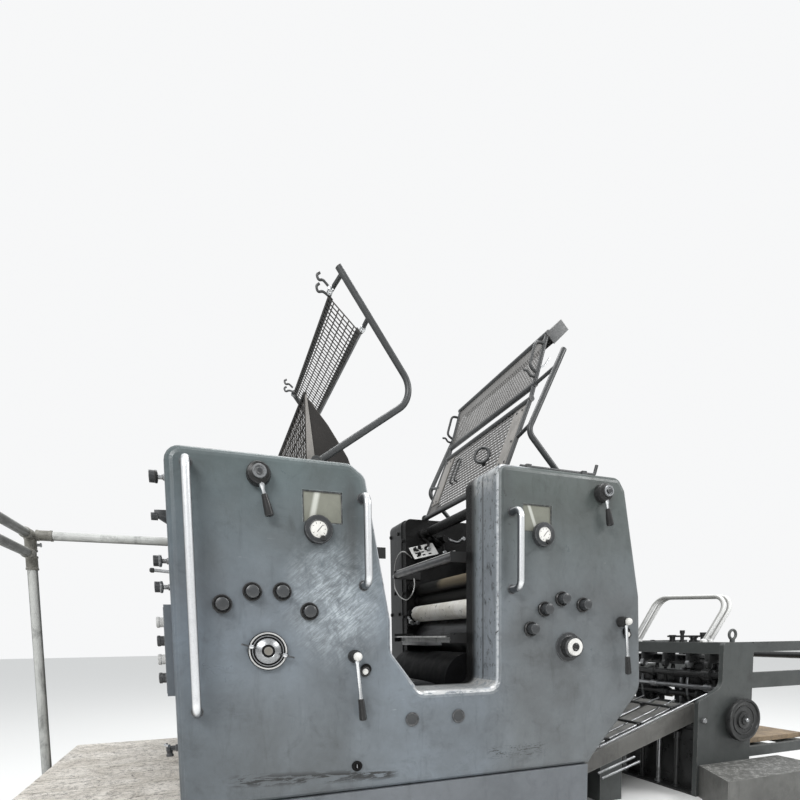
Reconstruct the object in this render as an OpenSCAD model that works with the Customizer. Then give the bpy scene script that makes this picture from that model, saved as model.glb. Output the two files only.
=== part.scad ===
// Two-colour offset printing press with its low delivery section and its sheet feeder.
// Millimetres. X runs from the delivery (left) to the feeder (right), Y away from the operator, Z up.
// The origin is on the floor, under the middle of the bed.

/* [Main frame] */
// Clear width between the two side frames
inner_w = 860; // [700:10:960]
// Thickness of each cast side frame
frame_t = 70; // [50:5:90]
// Depth of each outer cover over the drive gear and controls
cover_t = 250; // [200:10:300]
// Height of the bed, up to the seam under the covers
bed_h = 330; // [280:10:380]
// Left end of the machine, from the middle
left_end = 1061; // [1040:1:1090]
// Right end of the bed, from the middle
bed_right = 740; // [700:5:756]
// Length of the foot under the covers on the right
cover_foot_right = 756; // [750:2:770]
// Radius of the rounded outer edges of the covers
cover_edge_r = 30; // [12:2:36]
// Step between the side frame and the cover, seen as a groove
frame_inset = 5; // [2:1:10]
// Height of the plinth under the bed
plinth_h = 60; // [40:5:90]
// How far the plinth stands back from the bed
plinth_inset = 25; // [10:5:50]

/* [Left tower] */
// Height of the left tower
left_top = 1630; // [1600:5:1660]
// Width from the middle to the end of its flat top
left_shoulder = 405; // [395:5:430]
// Width from the middle to the upper corner on the gap side
left_corner = 343; // [330:1:350]
// Height of that upper corner
left_corner_h = 1586; // [1570:2:1600]
// Width from the middle to the upright part of the gap wall
gap_left = 247; // [235:1:260]
// Height where the sloping gap wall turns upright
gap_turn_h = 1023; // [1000:5:1050]
// Height where the gap wall turns towards the gap floor
gap_low_h = 893; // [870:5:910]
// Width from the middle to the left end of the gap floor
gap_floor_left = 123; // [110:1:140]
// Height of the gap floor
gap_floor_h = 727; // [700:2:740]

/* [Right tower] */
// Height of the right tower
right_top = 1700; // [1680:5:1720]
// Width from the middle to the gap wall of the right tower
gap_right = 243; // [230:1:260]
// Width from the middle to the end of its flat top
right_shoulder = 905; // [880:5:910]
// Width from the middle to the upper outer corner
right_corner = 946; // [935:1:960]
// Height of the upper outer corner
right_corner_h = 1642; // [1630:2:1650]
// Width from the middle to the bend in the outer wall
right_bend = 1047; // [1030:1:1060]
// Height of the bend in the outer wall
right_bend_h = 1140; // [1100:10:1180]
// Width from the middle to the widest point on the right
right_wide = 1068; // [1060:1:1080]
// Height of the widest point on the right
right_wide_h = 674; // [650:2:700]
// Width from the middle to the toe of the undercut
right_toe = 778; // [770:2:800]
// Height of the toe of the undercut
right_toe_h = 361; // [350:1:370]

/* [Cylinders] */
// Radius of the impression cylinder
impression_r = 200; // [185:5:205]
// Height of the axis of the impression cylinder
impression_z = 540; // [535:5:550]
// Radius of the blanket and plate cylinders
cylinder_r = 135; // [125:5:138]
// Lean of the line from the impression cylinder to a blanket cylinder, in degrees from upright
blanket_angle = 54.5; // [50:0.5:60]
// Lean of the line from a blanket cylinder to its plate cylinder, in degrees from upright
plate_angle = 37; // [32:1:42]
// Gap between two cylinders that roll on each other, with the pressure off
nip = 2; // [1:0.5:4]
// Gap between a cylinder and the side frames
cylinder_side_gap = 20; // [8:2:30]
// Radius of a cylinder journal
journal_r = 32; // [24:2:40]
// Running clearance round a journal
journal_fit = 0.05; // [0.02:0.01:0.1]
// Gap between the end of a journal and the cover
journal_end_gap = 1; // [0.5:0.5:4]
// Radius of the damping form roller
damping_r = 50; // [40:2:54]
// Radius of an ink form roller
form_r = 39; // [34:1:42]
// Radius of an ink drum
drum_r = 48; // [44:1:52]
// Radius of a rider roller
rider_r = 35; // [30:1:38]
// Radius of a roller spindle
spindle_r = 14; // [10:1:18]
// Gap between the rollers and the side frames
roller_side_gap = 30; // [15:5:50]

/* [Ink duct] */
// Width of the ink duct, across its top
duct_w = 130; // [110:5:150]
// Depth of the ink duct
duct_d = 110; // [90:5:130]
// Thickness of the duct's plates
duct_t = 10; // [6:1:14]
// Thickness of the duct's end blocks
duct_block_t = 22; // [16:1:26]
// Number of key screws along the duct
duct_keys = 10; // [6:1:14]
// Radius of a key screw
duct_key_r = 10; // [7:1:13]
// Distance from the middle to the duct's axis
duct_x = 815; // [805:5:825]
// Distance from the top of the left tower to the duct's rim
duct_drop = 40; // [20:5:60]

/* [Covers at the ends] */
// Thickness of the sheet covers between the towers' ends
end_sheet_t = 3; // [2:0.5:5]
// Height of the lower edge of the cover on the delivery end
delivery_sheet_h = 620; // [560:10:700]
// Height of the lower edge of the cover on the feeder end
feeder_sheet_h = 720; // [690:10:800]

/* [Controls on the face] */
// Clearance between a turning part and what it turns beside
running_gap = 6; // [5:0.5:10]
// Radius of a shaft in its boss
pivot_r = 11; // [8:0.5:14]
// Running clearance round a shaft in its boss
pivot_fit = 0.05; // [0.02:0.01:0.1]
// How far a boss stands out of the cover
boss_h = 26; // [20:1:34]
// Wall of a boss round its shaft
boss_wall = 13; // [9:1:18]
// Length of a top lever from its hub to the end of its grip
top_lever_len = 172; // [150:2:200]
// Length of a low lever from its hub to the end of its grip
low_lever_len = 262; // [220:2:300]
// Radius of the rod of a lever
lever_rod_r = 6.5; // [5:0.5:9]
// Radius of a lever's grip at its thick end
grip_r = 15; // [12:1:19]
// Radius of a unit handwheel
wheel_r = 71; // [60:1:80]
// Radius of a round setting knob
knob_r = 34; // [28:1:38]
// How far a setting knob stands out
knob_h = 42; // [30:2:60]
// Radius of a dial
dial_r = 53; // [46:1:58]
// How far a dial stands out
dial_h = 24; // [16:1:32]
// Width of an inspection window
window_w = 152; // [140:2:164]
// Height of an inspection window
window_h = 120; // [110:2:130]
// Depth of the recess of an inspection window
window_recess = 12; // [8:1:16]
// Thickness of the window's glass
glass_t = 5; // [3:1:7]

/* [Grab bars] */
// Radius of the chrome grab bars
bar_r = 15; // [12:1:18]
// How far the grab bars stand out, to their axis
bar_out = 75; // [50:1:90]
// Bend radius of the grab bars
bar_bend = 38; // [30:2:44]
// Length of the long upright grab bar
long_bar_len = 874; // [820:2:900]
// Length of the short grab bar on each side of the gap
short_bar_len = 335; // [300:2:360]

/* [Raised guards] */
// Half the distance between the stay tubes of a guard
stay_y = 605; // [600:5:700]
// Half the width of a guard panel
guard_half_w = 486; // [440:2:520]
// Radius of a guard's tubes
stay_r = 14; // [11:0.5:16]
// Bend radius of a guard's tubes
stay_bend = 100; // [60:5:130]
// Width of one opening of the wire mesh
mesh_cell = 24; // [22:1:36]
// Width of one wire of the mesh
mesh_wire = 4; // [3:0.5:6]
// Thickness of the mesh
mesh_t = 4; // [3:0.5:6]
// Leg of the angle irons along the guard panels
angle_leg = 24; // [18:1:30]
// Thickness of the angle irons and guard sheets
angle_t = 4; // [3:0.5:5]
// Gap between a guard's tube and the top of its tower, at the hinge
foot_gap = 6; // [5:0.5:10]
// Radius of a guard's hinge pin
hinge_pin_r = 9; // [7:0.5:11]
// Half the length of a guard's hinge pin
hinge_reach = 34; // [30:1:40]
// Thickness of an ear of a guard's hinge
ear_t = 10; // [8:0.5:12]

/* [Delivery] */
// Length of the delivery section beyond the left end
delivery_len = 600; // [560:10:700]
// Height of the top of the delivery deck
deck_h = 352; // [340:1:365]
// Thickness of the boards of the deck
deck_t = 24; // [18:1:30]
// Number of boards in the deck
deck_boards = 7; // [5:1:9]
// Gap between two boards
board_gap = 3; // [2:0.5:6]
// Thickness of the delivery's side plates
delivery_plate_t = 12; // [8:1:20]
// Distance from the end of the delivery to the axis of the rail's posts
rail_stand_off = 37; // [36:1:70]
// Place of the rail post across the machine
rail_y = 254; // [240:2:270]
// Height of the axis of the guard rail
rail_z = 1450; // [1350:10:1500]
// Radius of the rail's pipe
pipe_r = 21; // [17:0.5:24]

/* [Feeder] */
// Half the distance between the feeder's side plates, to their inner faces
feeder_half_w = 535; // [520:5:560]
// Thickness of the feeder's side plates
feeder_plate_t = 30; // [20:1:40]
// Height of the feeder's side plates
feeder_h = 900; // [860:10:940]
// Distance from the middle to the front of the feeder's side plates
feeder_front = 1670; // [1650:5:1690]
// Distance from the middle to the back of the feeder's side plates
feeder_back = 2105; // [2080:5:2130]
// Distance from the middle to the rear end of the feeder
feeder_end = 2780; // [2700:10:2850]
// Height of the lower end of the feed board
board_low_z = 272; // [250:1:290]
// Height of the upper end of the feed board
board_high_z = 532; // [515:1:545]
// Distance from the middle to the lower end of the feed board
board_low_x = 985; // [980:1:1000]
// Distance from the middle to the upper end of the feed board
board_high_x = 1800; // [1780:5:1820]
// Radius of the feeder's handwheel
feeder_wheel_r = 128; // [110:2:140]
// Height of the axis of the feeder's handwheel
feeder_wheel_z = 440; // [420:5:460]
// Distance from the middle to the axis of the feeder's handwheel
feeder_wheel_x = 1985; // [1960:5:2010]

/* [Hidden] */
$fn = 48;

arc_steps = 5;
edge_steps = 4;
frame_y = inner_w / 2;
cover_y = frame_y + frame_t;
face_y = cover_y + cover_t;
seat_gap = 0.3;
rim_lap = 2;
cut_over = 1;

// A corner of an outline, turned into an arc of radius r. Points are [x, z, r].
function unit(v) = v / norm(v);
function flat(p) = [p[0], p[1]];
function half_angle(a, b, c) = acos(unit(a - b) * unit(c - b)) / 2;
function arc_corner(a, b, c, r) =
    let (u = unit(a - b), w = unit(c - b), h = half_angle(a, b, c),
        centre = b + unit(u + w) * r / sin(h),
        s = b + u * r / tan(h) - centre, e = b + w * r / tan(h) - centre,
        from = atan2(s[1], s[0]), turn = atan2(s[0] * e[1] - s[1] * e[0], s * e))
    [for (i = [0:arc_steps]) centre + r * [cos(from + turn * i / arc_steps),
        sin(from + turn * i / arc_steps)]];
function rounded(pts) = [for (i = [0:len(pts) - 1])
    let (n = len(pts), a = flat(pts[(i + n - 1) % n]), b = flat(pts[i]), c = flat(pts[(i + 1) % n]))
    each pts[i][2] > 0 ? arc_corner(a, b, c, pts[i][2]) : [b]];
// The same outline moved inwards by d. The outline runs clockwise.
function turn_sign(a, b, c) = sign((b[0] - a[0]) * (c[1] - b[1]) - (b[1] - a[1]) * (c[0] - b[0]));
function inset(pts, d) = [for (i = [0:len(pts) - 1])
    let (n = len(pts), a = flat(pts[(i + n - 1) % n]), b = flat(pts[i]), c = flat(pts[(i + 1) % n]),
        s = -turn_sign(a, b, c),
        q = b + s * unit(unit(a - b) + unit(c - b)) * d / sin(half_angle(a, b, c)))
    [q[0], q[1], pts[i][2] > 0 ? pts[i][2] - s * d : 0]];

// A closed hoop through equal rings of [x, z] points, one at each Y. The last ring joins the first.
module ring_loft(rings, ys) {
    n = len(rings[0]);
    m = len(rings);
    polyhedron(
        points = [for (k = [0:m - 1]) for (p = rings[k]) [p[0], ys[k], p[1]]],
        faces = [for (k = [0:m - 1]) for (i = [0:n - 1])
            let (j = (i + 1) % n, l = (k + 1) % m) each [[k * n + i, l * n + i, k * n + j],
                [k * n + j, l * n + i, l * n + j]]]);
}

// The centre of a roller of radius r that rests on two others, given as [x, z, radius].
// Looking from the first to the second, it lies to the left for a side of 1.
function nest(a, b, r, side = 1) =
    let (pa = flat(a), pb = flat(b), d = norm(pb - pa), u = (pb - pa) / d,
        ra = a[2] + r + nip, rb = b[2] + r + nip, along = (ra * ra - rb * rb + d * d) / (2 * d),
        up = sqrt(ra * ra - along * along), q = pa + u * along + side * up * [-u[1], u[0]])
    [q[0], q[1], r];
// The centre of a roller of radius r that rests on one other, at an angle from upright
function beside(a, r, angle) =
    let (reach = a[2] + r + nip) [a[0] + reach * sin(angle), a[1] + reach * cos(angle), r];

// A plate whose outline lies in X and Z, from y0 to y0 + t
module plate_y(pts, y0, t) {
    translate([0, y0 + t, 0]) rotate([90, 0, 0]) linear_extrude(t) polygon(pts);
}

// A round bar along Y
module bar_y(x, z, r, y0, y1) {
    translate([x, y0, z]) rotate([-90, 0, 0]) cylinder(r = r, h = y1 - y0);
}

// A round bar from a to b
module rod(a, b, r) {
    d = b - a;
    h = norm(d);
    translate(a) rotate([0, acos(d[2] / h), atan2(d[1], d[0])]) cylinder(r = r, h = h);
}

// A tube or bar that follows a path and turns each corner in a true bend
function bend_cut(a, b, c, bend) = bend / tan(half_angle(a, b, c));
module elbow(a, b, c, r, bend) {
    u = unit(a - b);
    w = unit(c - b);
    h = half_angle(a, b, c);
    centre = b + unit(u + w) * bend / sin(h);
    ex = unit(b + u * bend / tan(h) - centre);
    to = unit(b + w * bend / tan(h) - centre);
    ez = unit(cross(ex, to));
    ey = cross(ez, ex);
    multmatrix([[ex[0], ey[0], ez[0], centre[0]], [ex[1], ey[1], ez[1], centre[1]],
        [ex[2], ey[2], ez[2], centre[2]], [0, 0, 0, 1]])
        rotate_extrude(angle = 180 - 2 * h) translate([bend, 0]) circle(r);
}
// The straights are a hair thinner than the bends and run into them, so that they join cleanly.
bend_step = 0.05;
bend_lap = 0.5;
module bent_bar(path, r, bend) {
    last = len(path) - 1;
    for (i = [0:last - 1]) {
        a = path[i];
        b = path[i + 1];
        u = unit(b - a);
        from = i > 0 ? a + u * (bend_cut(path[i - 1], a, b, bend) - bend_lap) : a;
        to = i < last - 1 ? b - u * (bend_cut(a, b, path[i + 2], bend) - bend_lap) : b;
        rod(from, to, r - bend_step);
    }
    for (i = [1:last - 1]) elbow(path[i - 1], path[i], path[i + 1], r, bend);
}

// A flat lattice in the XY plane, from the origin: square openings between wires
module lattice(w, l, cell, wire, t) {
    nx = max(1, floor((w - wire) / (cell + wire)));
    ny = max(1, floor((l - wire) / (cell + wire)));
    px = (w - wire) / nx;
    py = (l - wire) / ny;
    holes = [for (i = [0:nx - 1]) for (j = [0:ny - 1])
        let (x = wire + i * px, y = wire + j * py)
        [[x, y], [x + px - wire, y], [x + px - wire, y + py - wire], [x, y + py - wire]]];
    linear_extrude(t) polygon(
        points = concat([[0, 0], [w, 0], [w, l], [0, l]], [for (h = holes) each h]),
        paths = concat([[0, 1, 2, 3]],
            [for (k = [0:len(holes) - 1]) [4 + 4 * k, 5 + 4 * k, 6 + 4 * k, 7 + 4 * k]]));
}

// Outline of the covers and side frames, clockwise from the lower left corner
top_corner_r = 55;
shoulder_r = 46;
slope_r = 120;
notch_r = 40;
side_outline = [
    [-left_end, bed_h, 0],
    [-left_end, left_top, top_corner_r],
    [-left_shoulder, left_top, shoulder_r],
    [-left_corner, left_corner_h, shoulder_r],
    [-gap_left, gap_turn_h, slope_r],
    [-gap_left, gap_low_h, notch_r],
    [-gap_floor_left, gap_floor_h, notch_r],
    [gap_right, gap_floor_h, notch_r],
    [gap_right, right_top, notch_r],
    [right_shoulder, right_top, shoulder_r],
    [right_corner, right_corner_h, shoulder_r],
    [right_bend, right_bend_h, slope_r],
    [right_wide, right_wide_h, slope_r],
    [right_toe, right_toe_h, notch_r],
    [cover_foot_right, bed_h, 0]];

// Cylinders and rollers as [x, z, radius], on the right. The left unit mirrors them.
impression = [0, impression_z, impression_r];
blanket = beside(impression, cylinder_r, blanket_angle);
plate = beside(blanket, cylinder_r, plate_angle);
function mirrored(p) = [-p[0], p[1], p[2]];
cylinders = [impression, mirrored(blanket), blanket, mirrored(plate), plate];

// Corners that the controls on the face are placed from, [x, z]
left_top_corner = [-left_end, left_top];
right_top_corner = [right_shoulder, right_top];
left_foot_corner = [-left_end, bed_h];
gap_left_foot = [-gap_left, bed_h];
gap_right_foot = [gap_right, bed_h];
window_left_at = left_top_corner + [544, -180];
window_right_at = [gap_right, right_top] + [201, -225];

module bed() color([0.30, 0.32, 0.33]) {
    translate([-left_end, -face_y, plinth_h])
        cube([left_end + bed_right, 2 * face_y, bed_h - plinth_h]);
    translate([plinth_inset - left_end, plinth_inset - face_y, 0])
        cube([left_end + bed_right - 2 * plinth_inset, 2 * (face_y - plinth_inset), plinth_h]);
}

// side is -1 for the operator's side and 1 for the drive side
module side_frame(side) color([0.27, 0.29, 0.30]) {
    y0 = side > 0 ? frame_y : -cover_y;
    difference() {
        plate_y(rounded(inset(side_outline, frame_inset)), y0, frame_t);
        for (p = cylinders)
            bar_y(p[0], p[1], journal_r + journal_fit, y0 - cut_over, y0 + frame_t + cut_over);
    }
}
module operator_side_frame() side_frame(-1);
module drive_side_frame() side_frame(1);

module cover(side) {
    depths = [for (k = [0:edge_steps]) cover_edge_r * (1 - cos(90 * k / edge_steps))];
    insets = [for (k = [0:edge_steps]) cover_edge_r * (1 - sin(90 * k / edge_steps))];
    deep = cover_edge_r + rim_lap;
    mirror([0, side > 0 ? 1 : 0, 0]) {
        ring_loft(concat([for (d = insets) rounded(inset(side_outline, d))],
            [rounded(side_outline), rounded(inset(side_outline, deep)),
            rounded(inset(side_outline, deep))]),
            concat([for (d = depths) d - face_y], [deep - face_y, deep - face_y, -face_y]));
        plate_y(rounded(inset(side_outline, cover_edge_r)), -face_y, cover_t);
        plate_y(rounded(side_outline), cover_edge_r - face_y, cover_t - cover_edge_r);
    }
}
module operator_cover() color([0.37, 0.39, 0.40]) difference() {
    cover(-1);
    for (p = [window_left_at, window_right_at])
        translate([p[0] - window_w / 2, -face_y - cut_over, p[1] - window_h / 2])
            cube([window_w, window_recess + cut_over, window_h]);
}
module drive_cover() color([0.37, 0.39, 0.40]) cover(1);

// Tie bars between the side frames
tie_r = 28;
tie_edge = 100;
tie_rise = 150;
tie_drop = 85;
tie_axes = [[tie_edge - left_end, bed_h + tie_rise], [tie_edge - left_end, left_top - 1.5 * tie_drop],
    [-left_shoulder, left_top - tie_drop], [gap_right + 1.5 * tie_edge, right_top - tie_drop],
    [right_bend - tie_edge, right_bend_h], [bed_right - tie_edge, bed_h + tie_rise],
    [tie_edge - bed_right, bed_h + tie_rise]];
module cross_ties() color([0.22, 0.23, 0.24])
    for (p = tie_axes) bar_y(p[0], p[1], tie_r, -frame_y, frame_y);

// Angle irons that keep fingers out of the rollers, and shafts above them, one of each a unit
finger_in = 83;
finger_drop = 75;
finger_w = 40;
finger_t = 8;
finger_lip = 26;
bracket_t = 10;
bracket_h = 50;
bracket_reach = 45;
// Brackets on the side frames beside the gap, from x outwards
module end_brackets(x, z, reach)
    for (y = [-frame_y, frame_y - bracket_t])
        translate([x, y, z]) cube([gap_right + reach - x, bracket_t, bracket_h]);
module finger_guards() color([0.60, 0.60, 0.60])
    for (s = [0, 1]) mirror([s, 0, 0]) {
        translate([gap_right - finger_in, 0, gap_turn_h - finger_drop])
            plate_y([[0, 0], [0, finger_t], [finger_w, finger_t], [finger_w, -finger_lip],
                [finger_w - finger_t, -finger_lip], [finger_w - finger_t, 0]], -frame_y, inner_w);
        end_brackets(gap_right - finger_in, gap_turn_h - finger_drop - finger_lip,
            bracket_reach);
    }
gap_shaft_in = 58;
gap_shaft_up = 317;
gap_shaft_r = 20;
module gap_shafts() color([0.35, 0.35, 0.35])
    for (s = [0, 1]) mirror([s, 0, 0]) {
        bar_y(gap_right - gap_shaft_in, gap_turn_h + gap_shaft_up, gap_shaft_r, -frame_y, frame_y);
        end_brackets(gap_right - gap_shaft_in - gap_shaft_r,
            gap_turn_h + gap_shaft_up - bracket_h / 2, left_corner - gap_right);
    }

// Sheet covers that close the ends between the side frames
sheet_in = 8;
module end_covers() color([0.33, 0.35, 0.36]) {
    translate([-left_end + frame_inset, -frame_y, delivery_sheet_h])
        cube([end_sheet_t, inner_w, left_top - top_corner_r - delivery_sheet_h]);
    sheet = [[right_wide - sheet_in, feeder_sheet_h], [right_bend - sheet_in, right_bend_h],
        [right_corner - 2 * sheet_in, right_corner_h - shoulder_r]];
    plate_y(concat(sheet, [for (i = [2:-1:0]) sheet[i] - [end_sheet_t, 0]]), -frame_y, inner_w);
}

// A cylinder with its journals, along Y
module printing_cylinder(p) {
    half = frame_y - cylinder_side_gap;
    reach = cover_y - journal_end_gap;
    bar_y(p[0], p[1], p[2], -half, half);
    bar_y(p[0], p[1], journal_r, -reach, reach);
}
module impression_cylinder() color([0.55, 0.56, 0.56]) printing_cylinder(impression);
module blanket_cylinder_left() color([0.35, 0.40, 0.45]) printing_cylinder(mirrored(blanket));
module blanket_cylinder_right() color([0.35, 0.40, 0.45]) printing_cylinder(blanket);
module plate_cylinder_left() color([0.70, 0.71, 0.72]) printing_cylinder(mirrored(plate));
module plate_cylinder_right() color([0.70, 0.71, 0.72]) printing_cylinder(plate);

// A roller that stays in its place: [x, z, r]
module fixed_roller(p) {
    half = frame_y - roller_side_gap;
    bar_y(p[0], p[1], p[2], -half, half);
    bar_y(p[0], p[1], spindle_r, -frame_y, frame_y);
}
// The ink climbs down from the duct through drums and riders to the two form rollers
form_low = beside(plate, form_r, 70);
form_high = beside(plate, form_r, 24);
drum_low = nest(form_high, form_low, drum_r);
rider_a = nest(form_high, drum_low, rider_r);
rider_b = nest(rider_a, drum_low, rider_r);
drum_mid = nest(rider_a, rider_b, drum_r);
rider_c = nest(drum_mid, rider_b, rider_r);
rider_d = nest(drum_mid, rider_c, rider_r);
drum_high = nest(rider_d, rider_c, drum_r);
rider_e = nest(rider_d, drum_high, rider_r);
rider_f = nest(rider_e, drum_high, rider_r);
ductor = nest(rider_e, rider_f, rider_r);
duct_rim = left_top - duct_drop;
fountain = [duct_x - duct_w / 4, duct_rim - duct_d / 2, rider_r];
ink_train = [form_low, form_high, drum_low, rider_a, rider_b, drum_mid, rider_c, rider_d,
    drum_high, rider_e, rider_f, ductor, fountain];
module ink_rollers() color([0.16, 0.15, 0.15])
    for (p = ink_train) {
        fixed_roller(p);
        fixed_roller(mirrored(p));
    }

damper = beside(plate, damping_r, -40);
metering = beside(damper, rider_r, 20);
pan_roller = beside(metering, rider_r, -15);
module damping_rollers() color([0.86, 0.84, 0.78])
    for (p = [damper, metering, pan_roller]) {
        fixed_roller(p);
        fixed_roller(mirrored(p));
    }

// Ink duct: two end blocks, a sloping blade and its key screws
module ink_duct() {
    low = duct_rim - duct_d;
    back = duct_x + duct_w / 2;
    for (y = [-frame_y, frame_y - duct_block_t])
        plate_y([[duct_x - duct_t, duct_rim], [back, duct_rim], [back, duct_rim - duct_t],
            [duct_x, low], [duct_x - duct_t, low]], y, duct_block_t);
    plate_y([[back, duct_rim], [back, duct_rim - duct_t], [duct_x, low], [duct_x - duct_t, low],
        [back - duct_t, duct_rim]], -frame_y, inner_w);
    for (i = [0:duct_keys - 1]) {
        y = (i + 0.5) * inner_w / duct_keys - frame_y;
        rod([duct_x + duct_w / 4 - duct_t / 2, y, duct_rim - duct_d / 2],
            [duct_x + duct_w / 2, y, duct_rim - duct_d * 0.75], duct_key_r);
    }
}
module ink_ducts() color([0.45, 0.46, 0.46])
    for (s = [0, 1]) mirror([s, 0, 0]) ink_duct();

// Left guard. Its tubes stand on the covers beside the frame, its panel hangs between them.
knuckle_r = stay_r + 3;
hinge_h = foot_gap + knuckle_r;
left_pivot_in = 109;
left_pivot = [-left_shoulder - left_pivot_in, left_top + hinge_h];
left_bend = left_pivot + [445, 325];
left_tip = left_pivot + [114, 775];
left_panel_low = left_pivot + [237, 609];
left_panel_high = left_pivot + [100, 732];
panel_tilt = atan2(left_panel_high[1] - left_panel_low[1], left_panel_high[0] - left_panel_low[0]);
left_panel_w = norm(left_panel_high - left_panel_low);
stud_r = 9;
stud_lap = 2;
mesh_side_gap = stud_lap + seat_gap;
module left_panel_place()
    translate([left_panel_low[0], -guard_half_w, left_panel_low[1]]) rotate([0, -panel_tilt, 0])
        children();
function at_y(p, y) = [p[0], y, p[1]];
left_arm = unit(left_tip - left_bend);
function on_left_tube(at) = left_bend + left_arm * ((at - left_bend) * left_arm);
module guard_left_frame() color([0.24, 0.25, 0.26]) {
    for (s = [-1, 1]) {
        bent_bar([at_y(left_pivot, s * stay_y), at_y(left_bend, s * stay_y),
            at_y(left_tip, s * stay_y)], stay_r, stay_bend);
        bar_y(left_pivot[0], left_pivot[1], hinge_pin_r, s * stay_y - hinge_reach,
            s * stay_y + hinge_reach);
        bar_y(left_pivot[0], left_pivot[1], knuckle_r, s * stay_y - stay_r, s * stay_y + stay_r);
        for (at = [left_panel_low, left_panel_high])
            rod(at_y(at, s * (guard_half_w - stud_lap)), at_y(on_left_tube(at), s * stay_y), stud_r);
    }
    left_panel_place() {
        angle_iron(2 * guard_half_w);
        translate([left_panel_w, 0, 0]) mirror([1, 0, 0]) angle_iron(2 * guard_half_w);
    }
}

// Ears on the tower tops in which the guards' pins turn
module ear(p, y) {
    difference() {
        union() {
            bar_y(p[0], p[1], hinge_h, y, y + ear_t);
            translate([p[0] - hinge_h, y, p[1] - hinge_h]) cube([2 * hinge_h, ear_t, hinge_h]);
        }
        bar_y(p[0], p[1], hinge_pin_r + pivot_fit, y - cut_over, y + ear_t + cut_over);
    }
}
right_ear_y = cover_y + 2 * ear_t;
module guard_hinges() color([0.24, 0.25, 0.26])
    for (s = [-1, 1]) {
        ear(left_pivot, s * stay_y - hinge_reach);
        ear(left_pivot, s * stay_y + hinge_reach - ear_t);
        ear(right_pivot, s * right_ear_y - ear_t / 2);
    }
// An angle iron along Y, with its corner at the origin
module angle_iron(l) {
    cube([angle_leg, l, angle_t]);
    translate([0, 0, -angle_leg]) cube([angle_t, l, angle_leg + angle_t]);
}
module guard_left_mesh() color([0.35, 0.33, 0.31])
    left_panel_place() translate([angle_t + seat_gap, mesh_side_gap, angle_t])
        lattice(left_panel_w - 2 * (angle_t + seat_gap), 2 * (guard_half_w - mesh_side_gap),
            mesh_cell, mesh_wire, mesh_t);

// Hood over the inking rollers of the left tower
hood_in = 114;
hood_rise = 353;
hood_foot = left_shoulder + hood_in;
hood_top = [-hood_foot, left_top + hood_rise];
hood_side_gap = 22;
hood_y = frame_y + hood_side_gap;
hood_base = left_top - frame_inset;
hood_cell = 53;
// Outline of a cheek of the hood, each point from its top corner
hood_slope = [[33, -40], [95, -114], [155, -204], [180, -243], [195, -285]];
hood_toe_in = 5;
module guard_left_hood() color([0.28, 0.28, 0.28]) {
    for (y = [-hood_y, hood_y - end_sheet_t])
        plate_y([[-hood_foot, hood_base], hood_top, for (d = hood_slope) hood_top + d,
            [-left_shoulder - hood_toe_in, hood_base]], y, end_sheet_t);
    bar_y(-hood_foot, hood_top[1], stud_r, -hood_y, hood_y);
    translate([-hood_foot, -hood_y, hood_base]) rotate([0, -90, 0])
        lattice(hood_top[1] - hood_base, 2 * hood_y, hood_cell, mesh_wire, mesh_t);
}

// Right guard
right_pivot_in = 177;
right_pivot = [gap_right + right_pivot_in, right_top + hinge_h];
right_mid = right_pivot + [155, 385];
right_top_edge = right_pivot + [248, 707];
// The box-shaped flap along its top edge, open below: its corners, clockwise
flap = [for (d = [[246, 711], [329, 793], [375, 752], [292, 670]]) right_pivot + d];
flap_t = 4;
flap_open = 0.4;
double_bar = 0.22;
stay_tip = right_pivot + [261, 583];
stay_corner = right_pivot + [65, 182];
stay_foot_in = 252;
stay_foot = [right_pivot[0] + stay_foot_in, right_top + knuckle_r + seat_gap];
right_pin_y = right_ear_y + 2 * ear_t;
side_rod_r = stay_r - 3;
function on_right(f) = right_pivot + f * (right_mid - right_pivot);
function on_upper(f) = right_mid + f * (right_top_edge - right_mid);
function on_stay(f) = stay_corner + f * (stay_tip - stay_corner);
module guard_right_frame() color([0.24, 0.25, 0.26]) {
    for (s = [-1, 1]) {
        side_y = s * guard_half_w;
        bent_bar([at_y(stay_foot, s * stay_y), at_y(stay_corner, s * stay_y),
            at_y(stay_tip, s * stay_y)], stay_r, stay_bend / 2);
        bar_y(stay_foot[0], stay_foot[1], knuckle_r, s * stay_y - hinge_reach,
            s * stay_y + hinge_reach);
        rod(at_y(on_stay(0.1), s * stay_y), at_y(on_right(0.5), side_y), stud_r);
        rod(at_y(on_stay(0.8), s * stay_y), at_y(on_upper(double_bar), side_y), stud_r);
        rod(at_y(right_pivot, side_y), at_y(right_mid, side_y), side_rod_r);
        rod(at_y(right_mid, side_y), at_y(right_top_edge, side_y), side_rod_r);
    }
    for (p = [right_pivot, right_mid, on_upper(double_bar), right_top_edge])
        bar_y(p[0], p[1], stay_r, -guard_half_w - stay_r, guard_half_w + stay_r);
    bar_y(right_pivot[0], right_pivot[1], hinge_pin_r, -right_pin_y, right_pin_y);
    difference() {
        plate_y(flap, -guard_half_w, 2 * guard_half_w);
        inner = inset([for (p = flap) [p[0], p[1], 0]], flap_t);
        plate_y([flat(inner[0]), flat(inner[1]), flat(inner[2]), flap[3] + flap_open * (flap[3] - flap[1])],
            flap_t - guard_half_w, 2 * (guard_half_w - flap_t));
    }
}
module on_slope(a, b)
    translate([a[0], -guard_half_w, a[1]]) rotate([0, -atan2(b[1] - a[1], b[0] - a[0]), 0])
        children();
module guard_right_sheet() color([0.55, 0.53, 0.50])
    on_slope(right_pivot, right_mid) translate([stay_r, stay_r, -angle_t / 2])
        cube([norm(right_mid - right_pivot) - 2 * stay_r, 2 * (guard_half_w - stay_r), angle_t]);
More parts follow.
